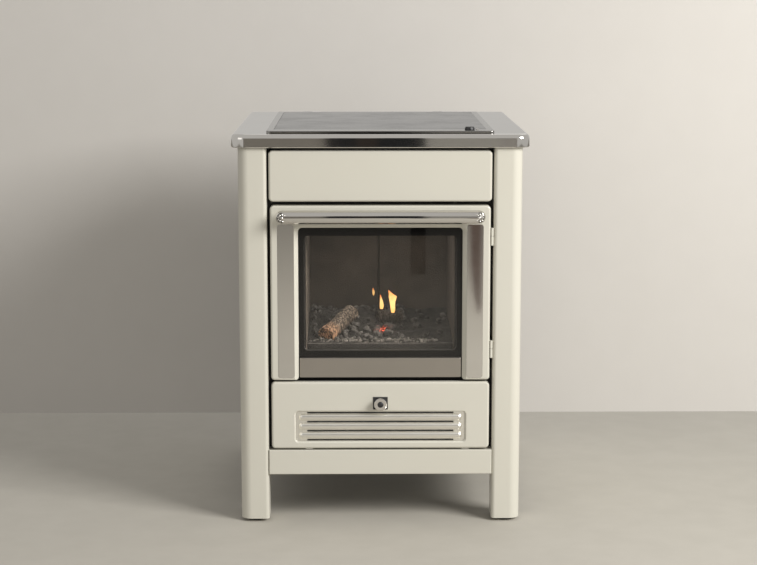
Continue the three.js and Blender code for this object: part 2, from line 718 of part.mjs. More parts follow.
function addSkins() {
  const group = assembly();
  const outer = postOuter - SKIN_INSET;
  const sheet = SKIN_SHEET;
  const side = cut(
    block(outer - SKIN_DEPTH, outer, -postFlank, postFlank, PLINTH_CLEARANCE, skinTop),
    block(
      outer - SKIN_DEPTH - OVERCUT, outer - sheet, -postFlank + sheet, postFlank - sheet,
      PLINTH_CLEARANCE + sheet, skinTop - sheet,
    ),
  );
  piece(group, "side_panel_right", side, creamEnamel);
  piece(group, "side_panel_left", mirrored(side), creamEnamel);
  const rear = bodyRear - SKIN_INSET;
  const back = cut(
    block(-postInner, postInner, rear - SKIN_DEPTH, rear, PLINTH_CLEARANCE, skinTop),
    block(
      -postInner + sheet, postInner - sheet, rear - SKIN_DEPTH - OVERCUT, rear - sheet,
      PLINTH_CLEARANCE + sheet, skinTop - sheet,
    ),
    rod(
      "y", FLUE_RADIUS + FLUE_PANEL_GAP, rear - SKIN_DEPTH, rear + OVERCUT, [0, flueHeight], FLUE_FACETS,
    ),
  );
  piece(group, "back_panel", back, galvanised);
}

/** The floor plate, notched round the four posts. */
function addFloorPlate() {
  const play = SKIN_SHEET + SEAT_GAP;
  const half = postOuter - SKIN_INSET - play;
  const rear = bodyRear - SKIN_INSET - play;
  const [inner, flank] = [postInner - play, postFlank - play];
  const rightSide = [
    [postInner, faceFrameRear],
    [postInner, -flank],
    [half, -flank],
    [half, flank],
    [inner, flank],
    [inner, rear],
  ];
  const leftSide = rightSide.map(([x, y]) => [-x, y]).reverse();
  const points = [...rightSide, ...leftSide].map(([x, y]) => new THREE.Vector2(x, y));
  const shape = new THREE.Shape(points);
  piece(assembly(), "floor_plate", levelPlate(shape, plinthTop - FRONT_SHEET, plinthTop), galvanised);
}

/** The black plate behind door and drawer: a fire opening, a drawer opening that is open below, a slot. */
function addFaceFrame() {
  const fireHalf = OPENING_WIDTH / 2;
  const drawerHalf = DRAWER_OPENING_WIDTH / 2;
  const plate = block(-postInner, postInner, faceFrameFront, faceFrameRear, plinthTop, frameBottom);
  const [before, behind] = [faceFrameFront - OVERCUT, faceFrameRear + OVERCUT];
  const fire = block(-fireHalf, fireHalf, before, behind, openingBottom, openingTop);
  const lip = drawerTop - DRAWER_OPENING_LIP;
  const drawer = block(-drawerHalf, drawerHalf, before, behind, plinthTop - OVERCUT, lip);
  const slot = catchPlaces();
  const slotRise = STRIKER_HEIGHT / 2 + STRIKER_SLOT_RISE;
  const slotHole = block(
    slot.left - STRIKER_SLOT_PLAY, slot.right + SEAT_GAP, before, behind,
    slot.height - slotRise, slot.height + slotRise,
  );
  piece(assembly(), "face_frame", cut(plate, fire, drawer, slotHole), stovePaint);
}

// ---------------------------------------------------------------------------------------------------------
// Firebox, fuel and flue
// ---------------------------------------------------------------------------------------------------------

/** The welded shell: a firebox open to the front, and over it the wider smoke chamber under the hob. */
function addFireboxShell() {
  const smokeHalf = HOB_OPENING_WIDTH / 2 + SHELL_WALL;
  const wall = SHELL_WALL;
  const firebox = block(-shellHalf, shellHalf, faceFrameRear, fireboxRear, fireboxFloor, smokeFloor);
  const smoke = block(
    -smokeHalf, smokeHalf, hobOpeningFront - wall, smokeRear, smokeFloor - wall, frameBottom,
  );
  const rearBox = block(-smokeHalf, smokeHalf, fireboxRear - wall, smokeRear, rearBoxFloor, smokeFloor);
  const fireHollow = block(
    -shellHalf + wall, shellHalf - wall, faceFrameRear - OVERCUT, fireboxRear - wall,
    fireboxFloor + wall, smokeFloor - wall,
  );
  const smokeHollow = block(
    -smokeHalf + wall, smokeHalf - wall, hobOpeningFront, smokeRear - wall,
    smokeFloor, frameBottom + OVERCUT,
  );
  const rearHollow = block(
    -smokeHalf + wall, smokeHalf - wall, fireboxRear, smokeRear - wall, rearBoxFloor + wall, frameBottom,
  );
  const throat = block(
    -shellHalf + wall, shellHalf - wall, hobOpeningFront, fireboxRear - wall,
    fireboxFloor + wall, frameBottom,
  );
  const ashHole = block(
    -GRATE_WIDTH / 2 + GRATE_LEDGE, GRATE_WIDTH / 2 - GRATE_LEDGE, grateFront + GRATE_LEDGE,
    grateRear - GRATE_LEDGE, fireboxFloor - OVERCUT, fireboxFloor + wall + OVERCUT,
  );
  const flueHole = rod(
    "y", FLUE_RADIUS - FLUE_WALL, smokeRear - 2 * wall, smokeRear + wall, [0, flueHeight], FLUE_FACETS,
  );
  const hollows = [fireHollow, smokeHollow, rearHollow, throat, ashHole, flueHole];
  const shell = cut(join(firebox, smoke, rearBox), ...hollows);
  piece(assembly(), "firebox_shell", shell, stovePaint);
}

/** A lining slab between two values of x and y, with its front upright edges chamfered. */
function brickGeometry(x0, x1, y0, y1) {
  const shape = new THREE.Shape();
  shape.moveTo(x0 + BRICK_CHAMFER, y0);
  shape.lineTo(x1 - BRICK_CHAMFER, y0);
  shape.lineTo(x1, y0 + BRICK_CHAMFER);
  shape.lineTo(x1, y1);
  shape.lineTo(x0, y1);
  shape.lineTo(x0, y0 + BRICK_CHAMFER);
  return levelPlate(shape, brickBottom, brickTop);
}

function addLining() {
  const group = assembly();
  const inner = FIREBOX_INNER_WIDTH / 2;
  const sideRear = backBrickFront - SEAT_GAP;
  const side = brickGeometry(inner, brickOuter, brickFront, sideRear);
  piece(group, "firebrick_right", side, firebrick);
  piece(group, "firebrick_left", mirrored(side), firebrick);
  const half = brickGeometry(SEAT_GAP / 2, brickOuter, backBrickFront, backBrickFront + BRICK_THICKNESS);
  piece(group, "firebrick_back_right", half, firebrick);
  piece(group, "firebrick_back_left", mirrored(half), firebrick);
  const baffleFront = brickFront + BAFFLE_THROAT;
  const baffleRear = backBrickFront + BRICK_THICKNESS;
  const baffle = block(
    -brickOuter, brickOuter, baffleFront, baffleRear, brickTop, brickTop + BAFFLE_THICKNESS,
  );
  piece(group, "baffle_plate", baffle, firebrick);
}

function addHearth() {
  const group = assembly();
  const half = FIREBOX_INNER_WIDTH / 2 - SEAT_GAP;
  const [gx, gap] = [GRATE_WIDTH / 2, SEAT_GAP];
  const pocketFloor = hearthTop - GRATE_THICKNESS;
  const plate = cut(
    block(-half, half, brickFront, backBrickFront - SEAT_GAP, brickBottom, hearthTop),
    block(-gx - gap, gx + gap, grateFront - gap, grateRear + gap, pocketFloor, hearthTop + OVERCUT),
    block(
      -gx + GRATE_LEDGE, gx - GRATE_LEDGE, grateFront + GRATE_LEDGE, grateRear - GRATE_LEDGE,
      brickBottom - OVERCUT, hearthTop,
    ),
  );
  piece(group, "hearth_plate", plate, castIron);

  const pitch = (GRATE_DEPTH - GRATE_SLOT) / GRATE_BARS;
  const barEnd = gx - GRATE_BORDER;
  const slots = [];
  for (let i = 0; i < GRATE_BARS; i += 1) {
    const start = grateFront + GRATE_SLOT + i * pitch;
    const end = start + GRATE_SLOT;
    slots.push(block(-barEnd, barEnd, start, end, pocketFloor - OVERCUT, hearthTop + OVERCUT));
  }
  const grate = cut(block(-gx, gx, grateFront, grateRear, pocketFloor, hearthTop), ...slots);
  piece(group, "grate", grate, castIron);

  const guardHeights = roundedEdge(hearthTop, hearthTop + GUARD_HEIGHT, GUARD_EDGE);
  const guardRear = guardFront + GUARD_THICKNESS;
  const guardAt = (inset) =>
    roundedRect(-half + inset, guardFront + inset, half - inset, guardRear - inset, GUARD_CORNER);
  piece(group, "log_guard", insetStack(guardAt, guardHeights, 1), castIron);
}

/** A short split log between two points, given from the middle of the firebox's front edge and floor. */
function logGeometry({ from, to, radius }, swell = 0) {
  const place = ([x, back, up]) => new THREE.Vector3(x, brickFront + back, brickBottom + up);
  const [start, end] = [place(from), place(to)];
  const run = end.clone().sub(start);
  const log = new THREE.CylinderGeometry(
    radius * LOG_TAPER + swell, radius + swell, run.length() + 2 * swell, LOG_SIDES,
  );
  const turn = new THREE.Quaternion().setFromUnitVectors(new THREE.Vector3(0, 1, 0), run.normalize());
  const middle = start.add(end).multiplyScalar(0.5);
  return log.applyQuaternion(turn).translate(middle.x, middle.y, middle.z);
}

/** Height of the ember bed over its floor: it rises to the rear, with lumps. */
function bedRise(across, along) {
  const slope = BED_FRONT_RISE + (BED_REAR_RISE - BED_FRONT_RISE) * Math.sin((along * Math.PI) / 2);
  const [first, second] = BED_WAVES.map(([wide, deep]) => wide * across + deep * along);
  const lumps = Math.sin(first) * Math.cos(second);
  return slope + BED_LUMP * lumps - BED_LUMP;
}

/** The bed: a lumpy upper surface over a flat underside. */
function bedGeometry() {
  const half = FIREBOX_INNER_WIDTH / 2 - 2 * SEAT_GAP;
  const front = guardFront + GUARD_THICKNESS + SEAT_GAP;
  const rear = backBrickFront - SEAT_GAP;
  const positions = [];
  for (const isTop of [false, true]) {
    for (let row = 0; row <= BED_ROWS; row += 1) {
      for (let column = 0; column <= BED_COLUMNS; column += 1) {
        const [across, along] = [column / BED_COLUMNS, row / BED_ROWS];
        const up = isTop ? bedRise(across, along) : 0;
        positions.push(-half + 2 * half * across, front + (rear - front) * along, fuelFloor + up);
      }
    }
  }
  const wide = BED_COLUMNS + 1;
  const layer = wide * (BED_ROWS + 1);
  const faces = [];
  const quad = (a, b, c, d) => faces.push(a, b, c, a, c, d);
  for (let row = 0; row < BED_ROWS; row += 1) {
    for (let column = 0; column < BED_COLUMNS; column += 1) {
      const corner = row * wide + column;
      quad(corner, corner + wide, corner + wide + 1, corner + 1);
      quad(layer + corner, layer + corner + 1, layer + corner + wide + 1, layer + corner + wide);
    }
  }
  for (let column = 0; column < BED_COLUMNS; column += 1) {
    const far = BED_ROWS * wide + column;
    quad(column, column + 1, layer + column + 1, layer + column);
    quad(far + 1, far, layer + far, layer + far + 1);
  }
  for (let row = 0; row < BED_ROWS; row += 1) {
    const left = row * wide;
    const right = left + BED_COLUMNS;
    quad(left + wide, left, layer + left, layer + left + wide);
    quad(right, right + wide, layer + right + wide, layer + right);
  }
  const bed = new THREE.BufferGeometry();
  bed.setAttribute("position", new THREE.Float32BufferAttribute(positions, 3));
  bed.setIndex(faces);
  return bed;
}

function addFuel() {
  const group = assembly();
  const nests = [LOG_FRONT, LOG_REAR].map((log) => logGeometry(log, SEAT_GAP));
  piece(group, "ember_bed", cut(bedGeometry(), ...nests), embers);
  piece(group, "log_front", logGeometry(LOG_FRONT), charredWood);
  piece(group, "log_rear", logGeometry(LOG_REAR), charredWood);
}

function addFlue() {
  const length = flueEnd - smokeRear;
  const bore = FLUE_RADIUS - FLUE_WALL;
  const profile = [
    [bore, 0],
    [FLUE_FLANGE_RADIUS, 0],
    [FLUE_FLANGE_RADIUS, FLUE_FLANGE_SHEET],
    [FLUE_RADIUS, FLUE_FLANGE_SHEET],
    [FLUE_RADIUS, length],
    [bore, length],
    [bore, 0],
  ];
  const collar = revolved(profile, FLUE_FACETS).rotateX(-Math.PI / 2);
  collar.translate(0, smokeRear, flueHeight);
  piece(assembly(), "flue_collar", collar, stovePaint);
}

// ---------------------------------------------------------------------------------------------------------
// Fire door
// ---------------------------------------------------------------------------------------------------------

/** Outline of the door's cream front: two legs under a top band, drawn in from its edge. */
function portal(inset) {
  const outer = doorHalf - inset;
  const inner = windowHalf + inset;
  const [low, high, sill] = [doorBottom + inset, doorTop - inset, windowTop + inset];
  const corner = shrunk(FRONT_CORNER, inset);
  const toe = shrunk(DOOR_FOOT_CORNER, inset);
  const crook = WINDOW_CORNER + inset;
  const quarter = Math.PI / 2;
  const shape = new THREE.Shape();
  shape.moveTo(-outer + toe, low);
  shape.lineTo(-inner - toe, low);
  shape.absarc(-inner - toe, low + toe, toe, -quarter, 0);
  shape.lineTo(-inner, sill - crook);
  shape.absarc(-inner + crook, sill - crook, crook, 2 * quarter, quarter, true);
  shape.lineTo(inner - crook, sill);
  shape.absarc(inner - crook, sill - crook, crook, quarter, 0, true);
  shape.lineTo(inner, low + toe);
  shape.absarc(inner + toe, low + toe, toe, 2 * quarter, 3 * quarter);
  shape.lineTo(outer - toe, low);
  shape.absarc(outer - toe, low + toe, toe, -quarter, 0);
  shape.lineTo(outer, high - corner);
  shape.absarc(outer - corner, high - corner, corner, 0, quarter);
  shape.lineTo(-outer + corner, high);
  shape.absarc(-outer + corner, high - corner, corner, quarter, 2 * quarter);
  shape.lineTo(-outer, low + toe);
  shape.absarc(-outer + toe, low + toe, toe, 2 * quarter, 3 * quarter);
  return shape;
}

/** Left and right edges of the strip let into the door's right leg. */
function stripEdges() {
  const inner = windowHalf + DOOR_BEVEL + SEAT_GAP;
  return [inner, inner + STRIP_WIDTH];
}

function stripShape(inset) {
  const [inner, outer] = stripEdges();
  const low = doorBottom + STRIP_BOTTOM_LIP + inset;
  const high = doorTop - STRIP_TOP_LIP - inset;
  return roundedRect(inner + inset, low, outer - inset, high, STRIP_CORNER);
}

function doorPanelGeometry() {
  const face = facingFront(
    insetStack(portal, roundedEdge(-bodyFront - DOOR_DEPTH, -bodyFront, FRONT_EDGE)),
  );
  // The bevel round the glass is widest at the front face.
  const runout = doorBottom - DOOR_BEVEL_RUNOUT;
  const bevelAt = ({ level, spread }) => ({
    points: outline(
      roundedRect(-windowHalf - spread, runout, windowHalf + spread, windowTop + spread, [
        LEAST_CORNER, LEAST_CORNER, WINDOW_CORNER + spread, WINDOW_CORNER + spread,
      ]),
    ),
    level,
  });
  const bevel = facingFront(
    stack([
      { level: -glassFront, spread: 0 },
      { level: -bodyFront + OVERCUT, spread: DOOR_BEVEL + OVERCUT },
    ].map(bevelAt)),
  );
  const recess = frontPlate(stripShape(0), bodyFront - OVERCUT, bodyFront + STRIP_RECESS);
  const sheet = FRONT_SHEET;
  const hollowFront = bodyFront + STRIP_RECESS + sheet;
  const legHollow = block(
    windowHalf + DOOR_BEVEL + sheet, doorHalf - sheet, hollowFront, linerFront + OVERCUT,
    doorBottom + sheet, doorTop - sheet,
  );
  const bandHollow = block(
    -doorHalf + sheet, doorHalf - sheet, hollowFront, linerFront + OVERCUT,
    windowTop + DOOR_BEVEL + sheet, doorTop - sheet,
  );
  const rearHollow = block(
    -doorHalf + sheet, doorHalf - sheet, linerFront, bodyFront + DOOR_DEPTH + OVERCUT,
    doorBottom + sheet, doorTop - sheet,
  );
  const hollows = [legHollow, mirrored(legHollow), bandHollow, rearHollow];
  return cut(face, bevel, recess, mirrored(recess), ...hollows);
}

/** Centre line of the rope seal, as an outline in (x, height). */
function ropeLine() {
  const half = OPENING_WIDTH / 2 + ROPE_OUTSIDE_OPENING;
  const low = openingBottom - ROPE_OUTSIDE_OPENING;
  const high = openingTop + ROPE_ABOVE_OPENING;
  return { half, low, high };
}

/** The band between two outlines that lie a half width to each side of the rope's centre line. */
function ropeBand(halfWidth, y0, y1) {
  const { half, low, high } = ropeLine();
  const grown = (by) =>
    roundedRect(-half - by, low - by, half + by, high + by, ROPE_CORNER + by);
  const outer = frontPlate(grown(halfWidth), y0, y1, FINE_ARC_STEPS);
  const inner = frontPlate(grown(-halfWidth), y0 - OVERCUT, y1 + OVERCUT, FINE_ARC_STEPS);
  return cut(outer, inner);
}

/** The rope: a section with few sides carried round its centre line. */
function ropeGeometry() {
  const { half, low, high } = ropeLine();
  const y = faceFrameFront - SEAT_GAP - ROPE_RADIUS;
  const line = outline(roundedRect(-half, low, half, high, ROPE_CORNER), FINE_ARC_STEPS);
  const positions = [];
  line.forEach((point, i) => {
    const before = line[(i + line.length - 1) % line.length];
    const after = line[(i + 1) % line.length];
    const along = after.clone().sub(before).normalize();
    for (let side = 0; side < ROPE_SIDES; side += 1) {
      const angle = ((side + 0.5) / ROPE_SIDES) * 2 * Math.PI;
      const outward = ROPE_RADIUS * Math.cos(angle);
      positions.push(
        point.x + outward * along.y, y + ROPE_RADIUS * Math.sin(angle), point.y - outward * along.x,
      );
    }
  });
  const faces = [];
  for (let i = 0; i < line.length; i += 1) {
    const next = (i + 1) % line.length;
    for (let side = 0; side < ROPE_SIDES; side += 1) {
      const turn = (side + 1) % ROPE_SIDES;
      const [a, b] = [i * ROPE_SIDES + side, i * ROPE_SIDES + turn];
      const [c, d] = [next * ROPE_SIDES + turn, next * ROPE_SIDES + side];
      faces.push(a, b, c, a, c, d);
    }
  }
  const rope = new THREE.BufferGeometry();
  rope.setAttribute("position", new THREE.Float32BufferAttribute(positions, 3));
  rope.setIndex(faces);
  return rope;
}

/** The cast liner that carries glass, trim and rope, open where the fire shows. */
function linerGeometry() {
  const half = doorHalf - FRONT_SHEET - SEAT_GAP;
  const top = doorTop - FRONT_SHEET - SEAT_GAP;
  const plate = block(-half, half, linerFront, linerRear, trimBottom, top);
  const window = roundedRect(
    -windowHalf + LINER_BORDER_SIDE, glassBottom + LINER_BORDER_BOTTOM,
    windowHalf - LINER_BORDER_SIDE, windowTop - LINER_BORDER_TOP, WINDOW_CORNER,
  );
  const behind = linerRear + OVERCUT;
  const groove = ropeBand(ROPE_RADIUS + SEAT_GAP, linerRear - ROPE_GROOVE_DEPTH, behind);
  return cut(plate, frontPlate(window, linerFront - OVERCUT, behind), groove);
}

function addDoor() {
  const door = assembly();
  piece(door, "door_panel", doorPanelGeometry(), creamEnamel);
  piece(door, "door_liner", linerGeometry(), stovePaint);
  piece(door, "door_rope", ropeGeometry(), glassRope);

  const glassHalf = windowHalf - SEAT_GAP;
  const glass = roundedRect(-glassHalf, glassBottom, glassHalf, windowTop - SEAT_GAP, [
    LEAST_CORNER, LEAST_CORNER, WINDOW_CORNER, WINDOW_CORNER,
  ]);
  piece(door, "door_glass", frontPlate(glass, glassFront, linerFront), fireGlass);

  const trimHalf = windowHalf - TRIM_SIDE_GAP;
  const trim = pressedPanel(-trimHalf, trimBottom, trimHalf, trimBottom + TRIM_HEIGHT, TRIM_THICKNESS, {
    corner: TRIM_CORNER,
    edge: TRIM_EDGE,
    front: linerFront - TRIM_THICKNESS,
  });
  piece(door, "door_bottom_trim", trim, satinSteel);

  const stripFront = bodyFront + STRIP_RECESS - STRIP_THICKNESS;
  const strip = frontPlate(stripShape(SEAT_GAP), stripFront, bodyFront + STRIP_RECESS);
  piece(door, "door_strip_right", strip, polishedSteel);
  piece(door, "door_strip_left", mirrored(strip), polishedSteel);

  const bar = domedBar(HANDLE_LENGTH, HANDLE_HEIGHT, HANDLE_THICKNESS, handleBack, HANDLE_STEPS);
  piece(door, "handle_bar", bar.translate(0, 0, handleHeight), polishedSteel);
  const postX = HANDLE_LENGTH / 2 - HANDLE_POST_INSET;
  const post = rod("y", HANDLE_POST_RADIUS, handleBack, bodyFront, [postX, handleHeight], PIN_FACETS);
  piece(door, "handle_post_right", post, polishedSteel);
  piece(door, "handle_post_left", mirrored(post), polishedSteel);
  return door;
}

// ---------------------------------------------------------------------------------------------------------
// Door hinges and catch
// ---------------------------------------------------------------------------------------------------------

/** One hinge: a lower knuckle with its pin and leaf on the post, an upper knuckle and leaf on the door. */
function addHinge(door, name, foot) {
  const split = foot + HINGE_LOWER_KNUCKLE;
  const top = split + HINGE_UPPER_KNUCKLE + HINGE_SPLIT;
  const centre = [hingeX, hingeY];
  const leafRear = hingeY + HINGE_LEAF_DEPTH;
  const fixedLeaf = block(postInner - HINGE_LEAF, postInner, hingeY, leafRear, foot, split);
  const fixed = join(
    rod("z", HINGE_KNUCKLE_RADIUS, foot, split, centre, PIN_FACETS),
    fixedLeaf,
    rod("z", HINGE_PIN_RADIUS, foot, top, centre, PIN_FACETS),
  );
  piece(assembly(), `hinge_fixed_${name}`, fixed, creamEnamel);
  const start = split + HINGE_SPLIT;
  const doorLeaf = block(doorHalf, doorHalf + HINGE_LEAF, hingeY, leafRear, start, top);
  const boreRadius = HINGE_PIN_RADIUS + PIN_CLEARANCE;
  const bore = rod("z", boreRadius, start - OVERCUT, top + OVERCUT, centre, PIN_FACETS);
  const knuckle = rod("z", HINGE_KNUCKLE_RADIUS, start, top, centre, PIN_FACETS);
  const moving = cut(join(knuckle, doorLeaf), bore);
  piece(door, `hinge_leaf_${name}`, moving, creamEnamel);
}

/** Where the striker passes through the face frame, and the roller's axis beside it. */
function catchPlaces() {
  const rollerX = -shellHalf - CATCH_SHELL_GAP - CATCH_ROLLER_RADIUS;
  const right = rollerX - CATCH_ROLLER_RADIUS - MOVING_GAP;
  const left = right - STRIKER_THICKNESS;
  const height = doorBottom + CATCH_HEIGHT;
  const rollerY = faceFrameRear + MOVING_GAP + CATCH_ROLLER_RADIUS + CATCH_EAR;
  return { left, right, height, rollerX, rollerY };
}

function addCatch(door) {
  const { left, right, height, rollerX, rollerY } = catchPlaces();
  const half = STRIKER_HEIGHT / 2;
  const striker = block(left, right, linerRear, linerRear + STRIKER_REACH, height - half, height + half);
  piece(door, "door_striker", striker, galvanised);

  const earLow = height - CATCH_ROLLER_LENGTH / 2 - MOVING_GAP;
  const earHigh = height + CATCH_ROLLER_LENGTH / 2 + MOVING_GAP;
  const edge = right + 2 * SEAT_GAP;
  const far = rollerX + CATCH_ROLLER_RADIUS;
  const deep = rollerY + CATCH_PIN_RADIUS + CATCH_EAR;
  const bracket = join(
    block(edge, far, faceFrameRear, faceFrameRear + CATCH_EAR, earLow - CATCH_EAR, earHigh + CATCH_EAR),
    block(edge, far, faceFrameRear, deep, earLow - CATCH_EAR, earLow),
    block(edge, far, faceFrameRear, deep, earHigh, earHigh + CATCH_EAR),
    rod("z", CATCH_PIN_RADIUS, earLow - CATCH_EAR, earHigh + CATCH_EAR, [rollerX, rollerY], PIN_FACETS),
  );
  const group = assembly();
  piece(group, "catch_bracket", bracket, galvanised);
  const [low, high] = [height - CATCH_ROLLER_LENGTH / 2, height + CATCH_ROLLER_LENGTH / 2];
  const boreRadius = CATCH_PIN_RADIUS + PIN_CLEARANCE;
  const roller = cut(
    rod("z", CATCH_ROLLER_RADIUS, low, high, [rollerX, rollerY]),
    rod("z", boreRadius, low - OVERCUT, high + OVERCUT, [rollerX, rollerY], PIN_FACETS),
  );
  piece(group, "catch_roller", roller, galvanised);
}

// ---------------------------------------------------------------------------------------------------------
// Ash drawer, louvre and air control
// ---------------------------------------------------------------------------------------------------------

function louvreShape(grow) {
  const half = LOUVRE_WIDTH / 2 + grow;
  const [low, high] = [louvreBottom - grow, louvreBottom + LOUVRE_HEIGHT + grow];
  return roundedRect(-half, low, half, high, LOUVRE_CORNER + grow);
}

/** Heights of the air slots, one under, between and over the slats. */
function slotHeights() {
  const heights = [];
  for (let i = 0; i <= SLAT_COUNT; i += 1) {
    heights.push(louvreMiddle + (i - SLAT_COUNT / 2) * SLAT_PITCH);
  }
  return heights;
}

function slotTool(height, y0, y1) {
  const half = SLOT_LENGTH / 2;
  return block(-half, half, y0, y1, height - SLOT_HEIGHT / 2, height + SLOT_HEIGHT / 2);
}

/** Half the width of the sliding shutter, which its guides take in. */
function shutterHalf() {
  return LOUVRE_WIDTH / 2 + LOUVRE_LIP + SHUTTER_OVERLAP;
}

function drawerFrontGeometry() {
  const face = cut(
    pressedPanel(-doorHalf, drawerBottom, doorHalf, drawerTop, DRAWER_DEPTH),
    panelHollow(-doorHalf, drawerBottom, doorHalf, drawerTop, DRAWER_DEPTH, FRONT_SHEET),
  );
  const withinSheet = bodyFront + FRONT_SHEET / 2;
  const lip = frontPlate(louvreShape(LOUVRE_LIP), withinSheet, bodyFront + LOUVRE_LIP_DEPTH);
  const half = shutterHalf();
  const guideOuter = half + MOVING_GAP + SHUTTER_GUIDE;
  const low = louvreBottom;
  const high = louvreBottom + LOUVRE_HEIGHT;
  const guideRear = shutterRear + MOVING_GAP + SHUTTER_SHEET;
  const guide = join(
    block(half + MOVING_GAP, guideOuter, withinSheet, guideRear, low, high),
    block(half - SHUTTER_GUIDE, guideOuter, shutterRear + MOVING_GAP, guideRear, low, high),
  );
  const before = bodyFront - OVERCUT;
  const opening = frontPlate(louvreShape(0), before, bodyFront + LOUVRE_LIP_DEPTH + OVERCUT);
  const bevel = facingFront(
    stack([
      { points: outline(louvreShape(0)), level: -bodyFront - LOUVRE_LIP_BEVEL },
      { points: outline(louvreShape(LOUVRE_LIP_BEVEL + OVERCUT)), level: -before },
    ]),
  );
  const behind = bodyFront + FRONT_SHEET + OVERCUT;
  const shaftHole = rod("y", KNOB_SHAFT_RADIUS + SEAT_GAP, before, behind, [0, knobHeight], PIN_FACETS);
  return cut(join(face, lip, guide, mirrored(guide)), opening, bevel, shaftHole);
}

/** The polished grille: domed slats on a thin plate with an air slot beside each. */
function grilleGeometry() {
  const plate = frontPlate(louvreShape(-SEAT_GAP), grilleFront, grilleFront + GRILLE_SHEET);
  const slats = [];
  for (let i = 0; i < SLAT_COUNT; i += 1) {
    const height = louvreMiddle + (i - (SLAT_COUNT - 1) / 2) * SLAT_PITCH;
    const length = LOUVRE_WIDTH - 2 * LOUVRE_CORNER;
    const slat = domedBar(length, SLAT_HEIGHT, SLAT_RISE + SLAT_ROOT, grilleFront + SLAT_ROOT, SLAT_STEPS);
    slats.push(slat.translate(0, 0, height));
  }
  const slots = slotHeights().map((height) =>
    slotTool(height, grilleFront - OVERCUT, grilleFront + GRILLE_SHEET + OVERCUT),
  );
  return cut(join(plate, ...slats), ...slots);
}

/** The open ash box, with ears that carry it on the drawer's front. */
function ashBoxGeometry() {
  const half = ASH_BOX_WIDTH / 2;
  const front = bodyFront + ASH_BOX_FRONT_SETBACK;
  const rear = front + ASH_BOX_LENGTH;
  const top = ashBoxBottom + ASH_BOX_HEIGHT;
  const sheet = ASH_BOX_SHEET;
  const tub = cut(
    block(-half, half, front, rear, ashBoxBottom, top),
    block(
      -half + sheet, half - sheet, front + sheet, rear - sheet, ashBoxBottom + sheet, top + OVERCUT,
    ),
  );
  const ear = block(
    half - sheet, half, bodyFront + FRONT_SHEET, front + sheet, top - ASH_EAR_HEIGHT, top,
  );
  return join(tub, ear, mirrored(ear));
}

function addRunners() {
  const group = assembly();
  const inner = ASH_BOX_WIDTH / 2 + RUNNER_PLAY;
  const rear = bodyFront + ASH_BOX_FRONT_SETBACK + ASH_BOX_LENGTH;
  const outer = inner + RUNNER_THICKNESS;
  const front = faceFrameRear;
  const runner = join(
    block(inner - RUNNER_BASE, outer, front, rear, plinthTop, plinthTop + RUNNER_THICKNESS),
    block(inner, outer, front, rear, plinthTop, plinthTop + RUNNER_HEIGHT),
  );
  piece(group, "drawer_runner_right", runner, galvanised);
  piece(group, "drawer_runner_left", mirrored(runner), galvanised);
}

/** The air knob with its shaft, crank arm and crank pin, one turning piece. */
function airKnobGeometry() {
  const seat = KNOB_PLATE_SHEET + MOVING_GAP;
  const rim = KNOB_RADIUS;
  const dish = rim * KNOB_DISH;
  const face = seat + KNOB_LENGTH;
  const profile = [
    [0, seat],
    [rim - KNOB_BASE_INSET, seat],
    [rim - KNOB_WAIST_INSET, seat + KNOB_WAIST * KNOB_LENGTH],
    [rim, seat + KNOB_SHOULDER * KNOB_LENGTH],
    [rim, seat + KNOB_BROW * KNOB_LENGTH],
    [rim - KNOB_EDGE, face],
    [dish + KNOB_EDGE, face],
    [dish, face - KNOB_EDGE],
    [0, face - KNOB_EDGE],
  ];
  const knob = revolved(profile, KNOB_FACETS).rotateX(Math.PI / 2).translate(0, bodyFront, knobHeight);
  const armFront = bodyFront + FRONT_SHEET + MOVING_GAP;
  const armRear = armFront + CRANK_ARM;
  const shaftFront = bodyFront - seat - OVERCUT;
  const shaft = rod("y", KNOB_SHAFT_RADIUS, shaftFront, armRear, [0, knobHeight], PIN_FACETS);
  const armHalf = KNOB_SHAFT_RADIUS + CRANK_MARGIN;
  const armShape = roundedRect(
    -armHalf, knobHeight - armHalf, CRANK_RADIUS + armHalf, knobHeight + armHalf, armHalf * NEARLY_ROUND,
  );
  const arm = frontPlate(armShape, armFront, armRear);
  const pinRear = shutterRear + MOVING_GAP + CRANK_PIN_RADIUS;
  const pin = rod("y", CRANK_PIN_RADIUS, armFront, pinRear, [CRANK_RADIUS, knobHeight], SMALL_FACETS);
  return join(knob, shaft, arm, pin);
}

/** The shutter: a slotted plate behind the louvre, with a tongue that the crank pin lifts. */
function shutterGeometry() {
  const half = shutterHalf();
  const reach = LOUVRE_LIP + SHUTTER_OVERLAP;
  const low = louvreBottom - reach;
  const high = louvreBottom + LOUVRE_HEIGHT + reach;
  const plate = block(-half, half, shutterFront, shutterRear, low, high);
  const slotHalf = CRANK_PIN_RADIUS + CRANK_SLOT_PLAY;
  const tongueTop = knobHeight + slotHalf + SHUTTER_TONGUE_MARGIN;
  const tongue = block(
    CRANK_RADIUS - SHUTTER_TONGUE_WIDTH / 2, CRANK_RADIUS + SHUTTER_TONGUE_WIDTH / 2,
    shutterFront, shutterRear, high - OVERCUT, tongueTop,
  );
  const slotStart = CRANK_RADIUS * Math.cos(CRANK_TURN) - slotHalf - CRANK_SLOT_END;
  const [before, behind] = [shutterFront - OVERCUT, shutterRear + OVERCUT];
  const pinSlot = block(
    slotStart, CRANK_RADIUS + slotHalf, before, behind, knobHeight - slotHalf, knobHeight + slotHalf,
  );
  const slots = slotHeights().map((height) => slotTool(height, before, behind));
  return cut(join(plate, tongue), pinSlot, ...slots);
}

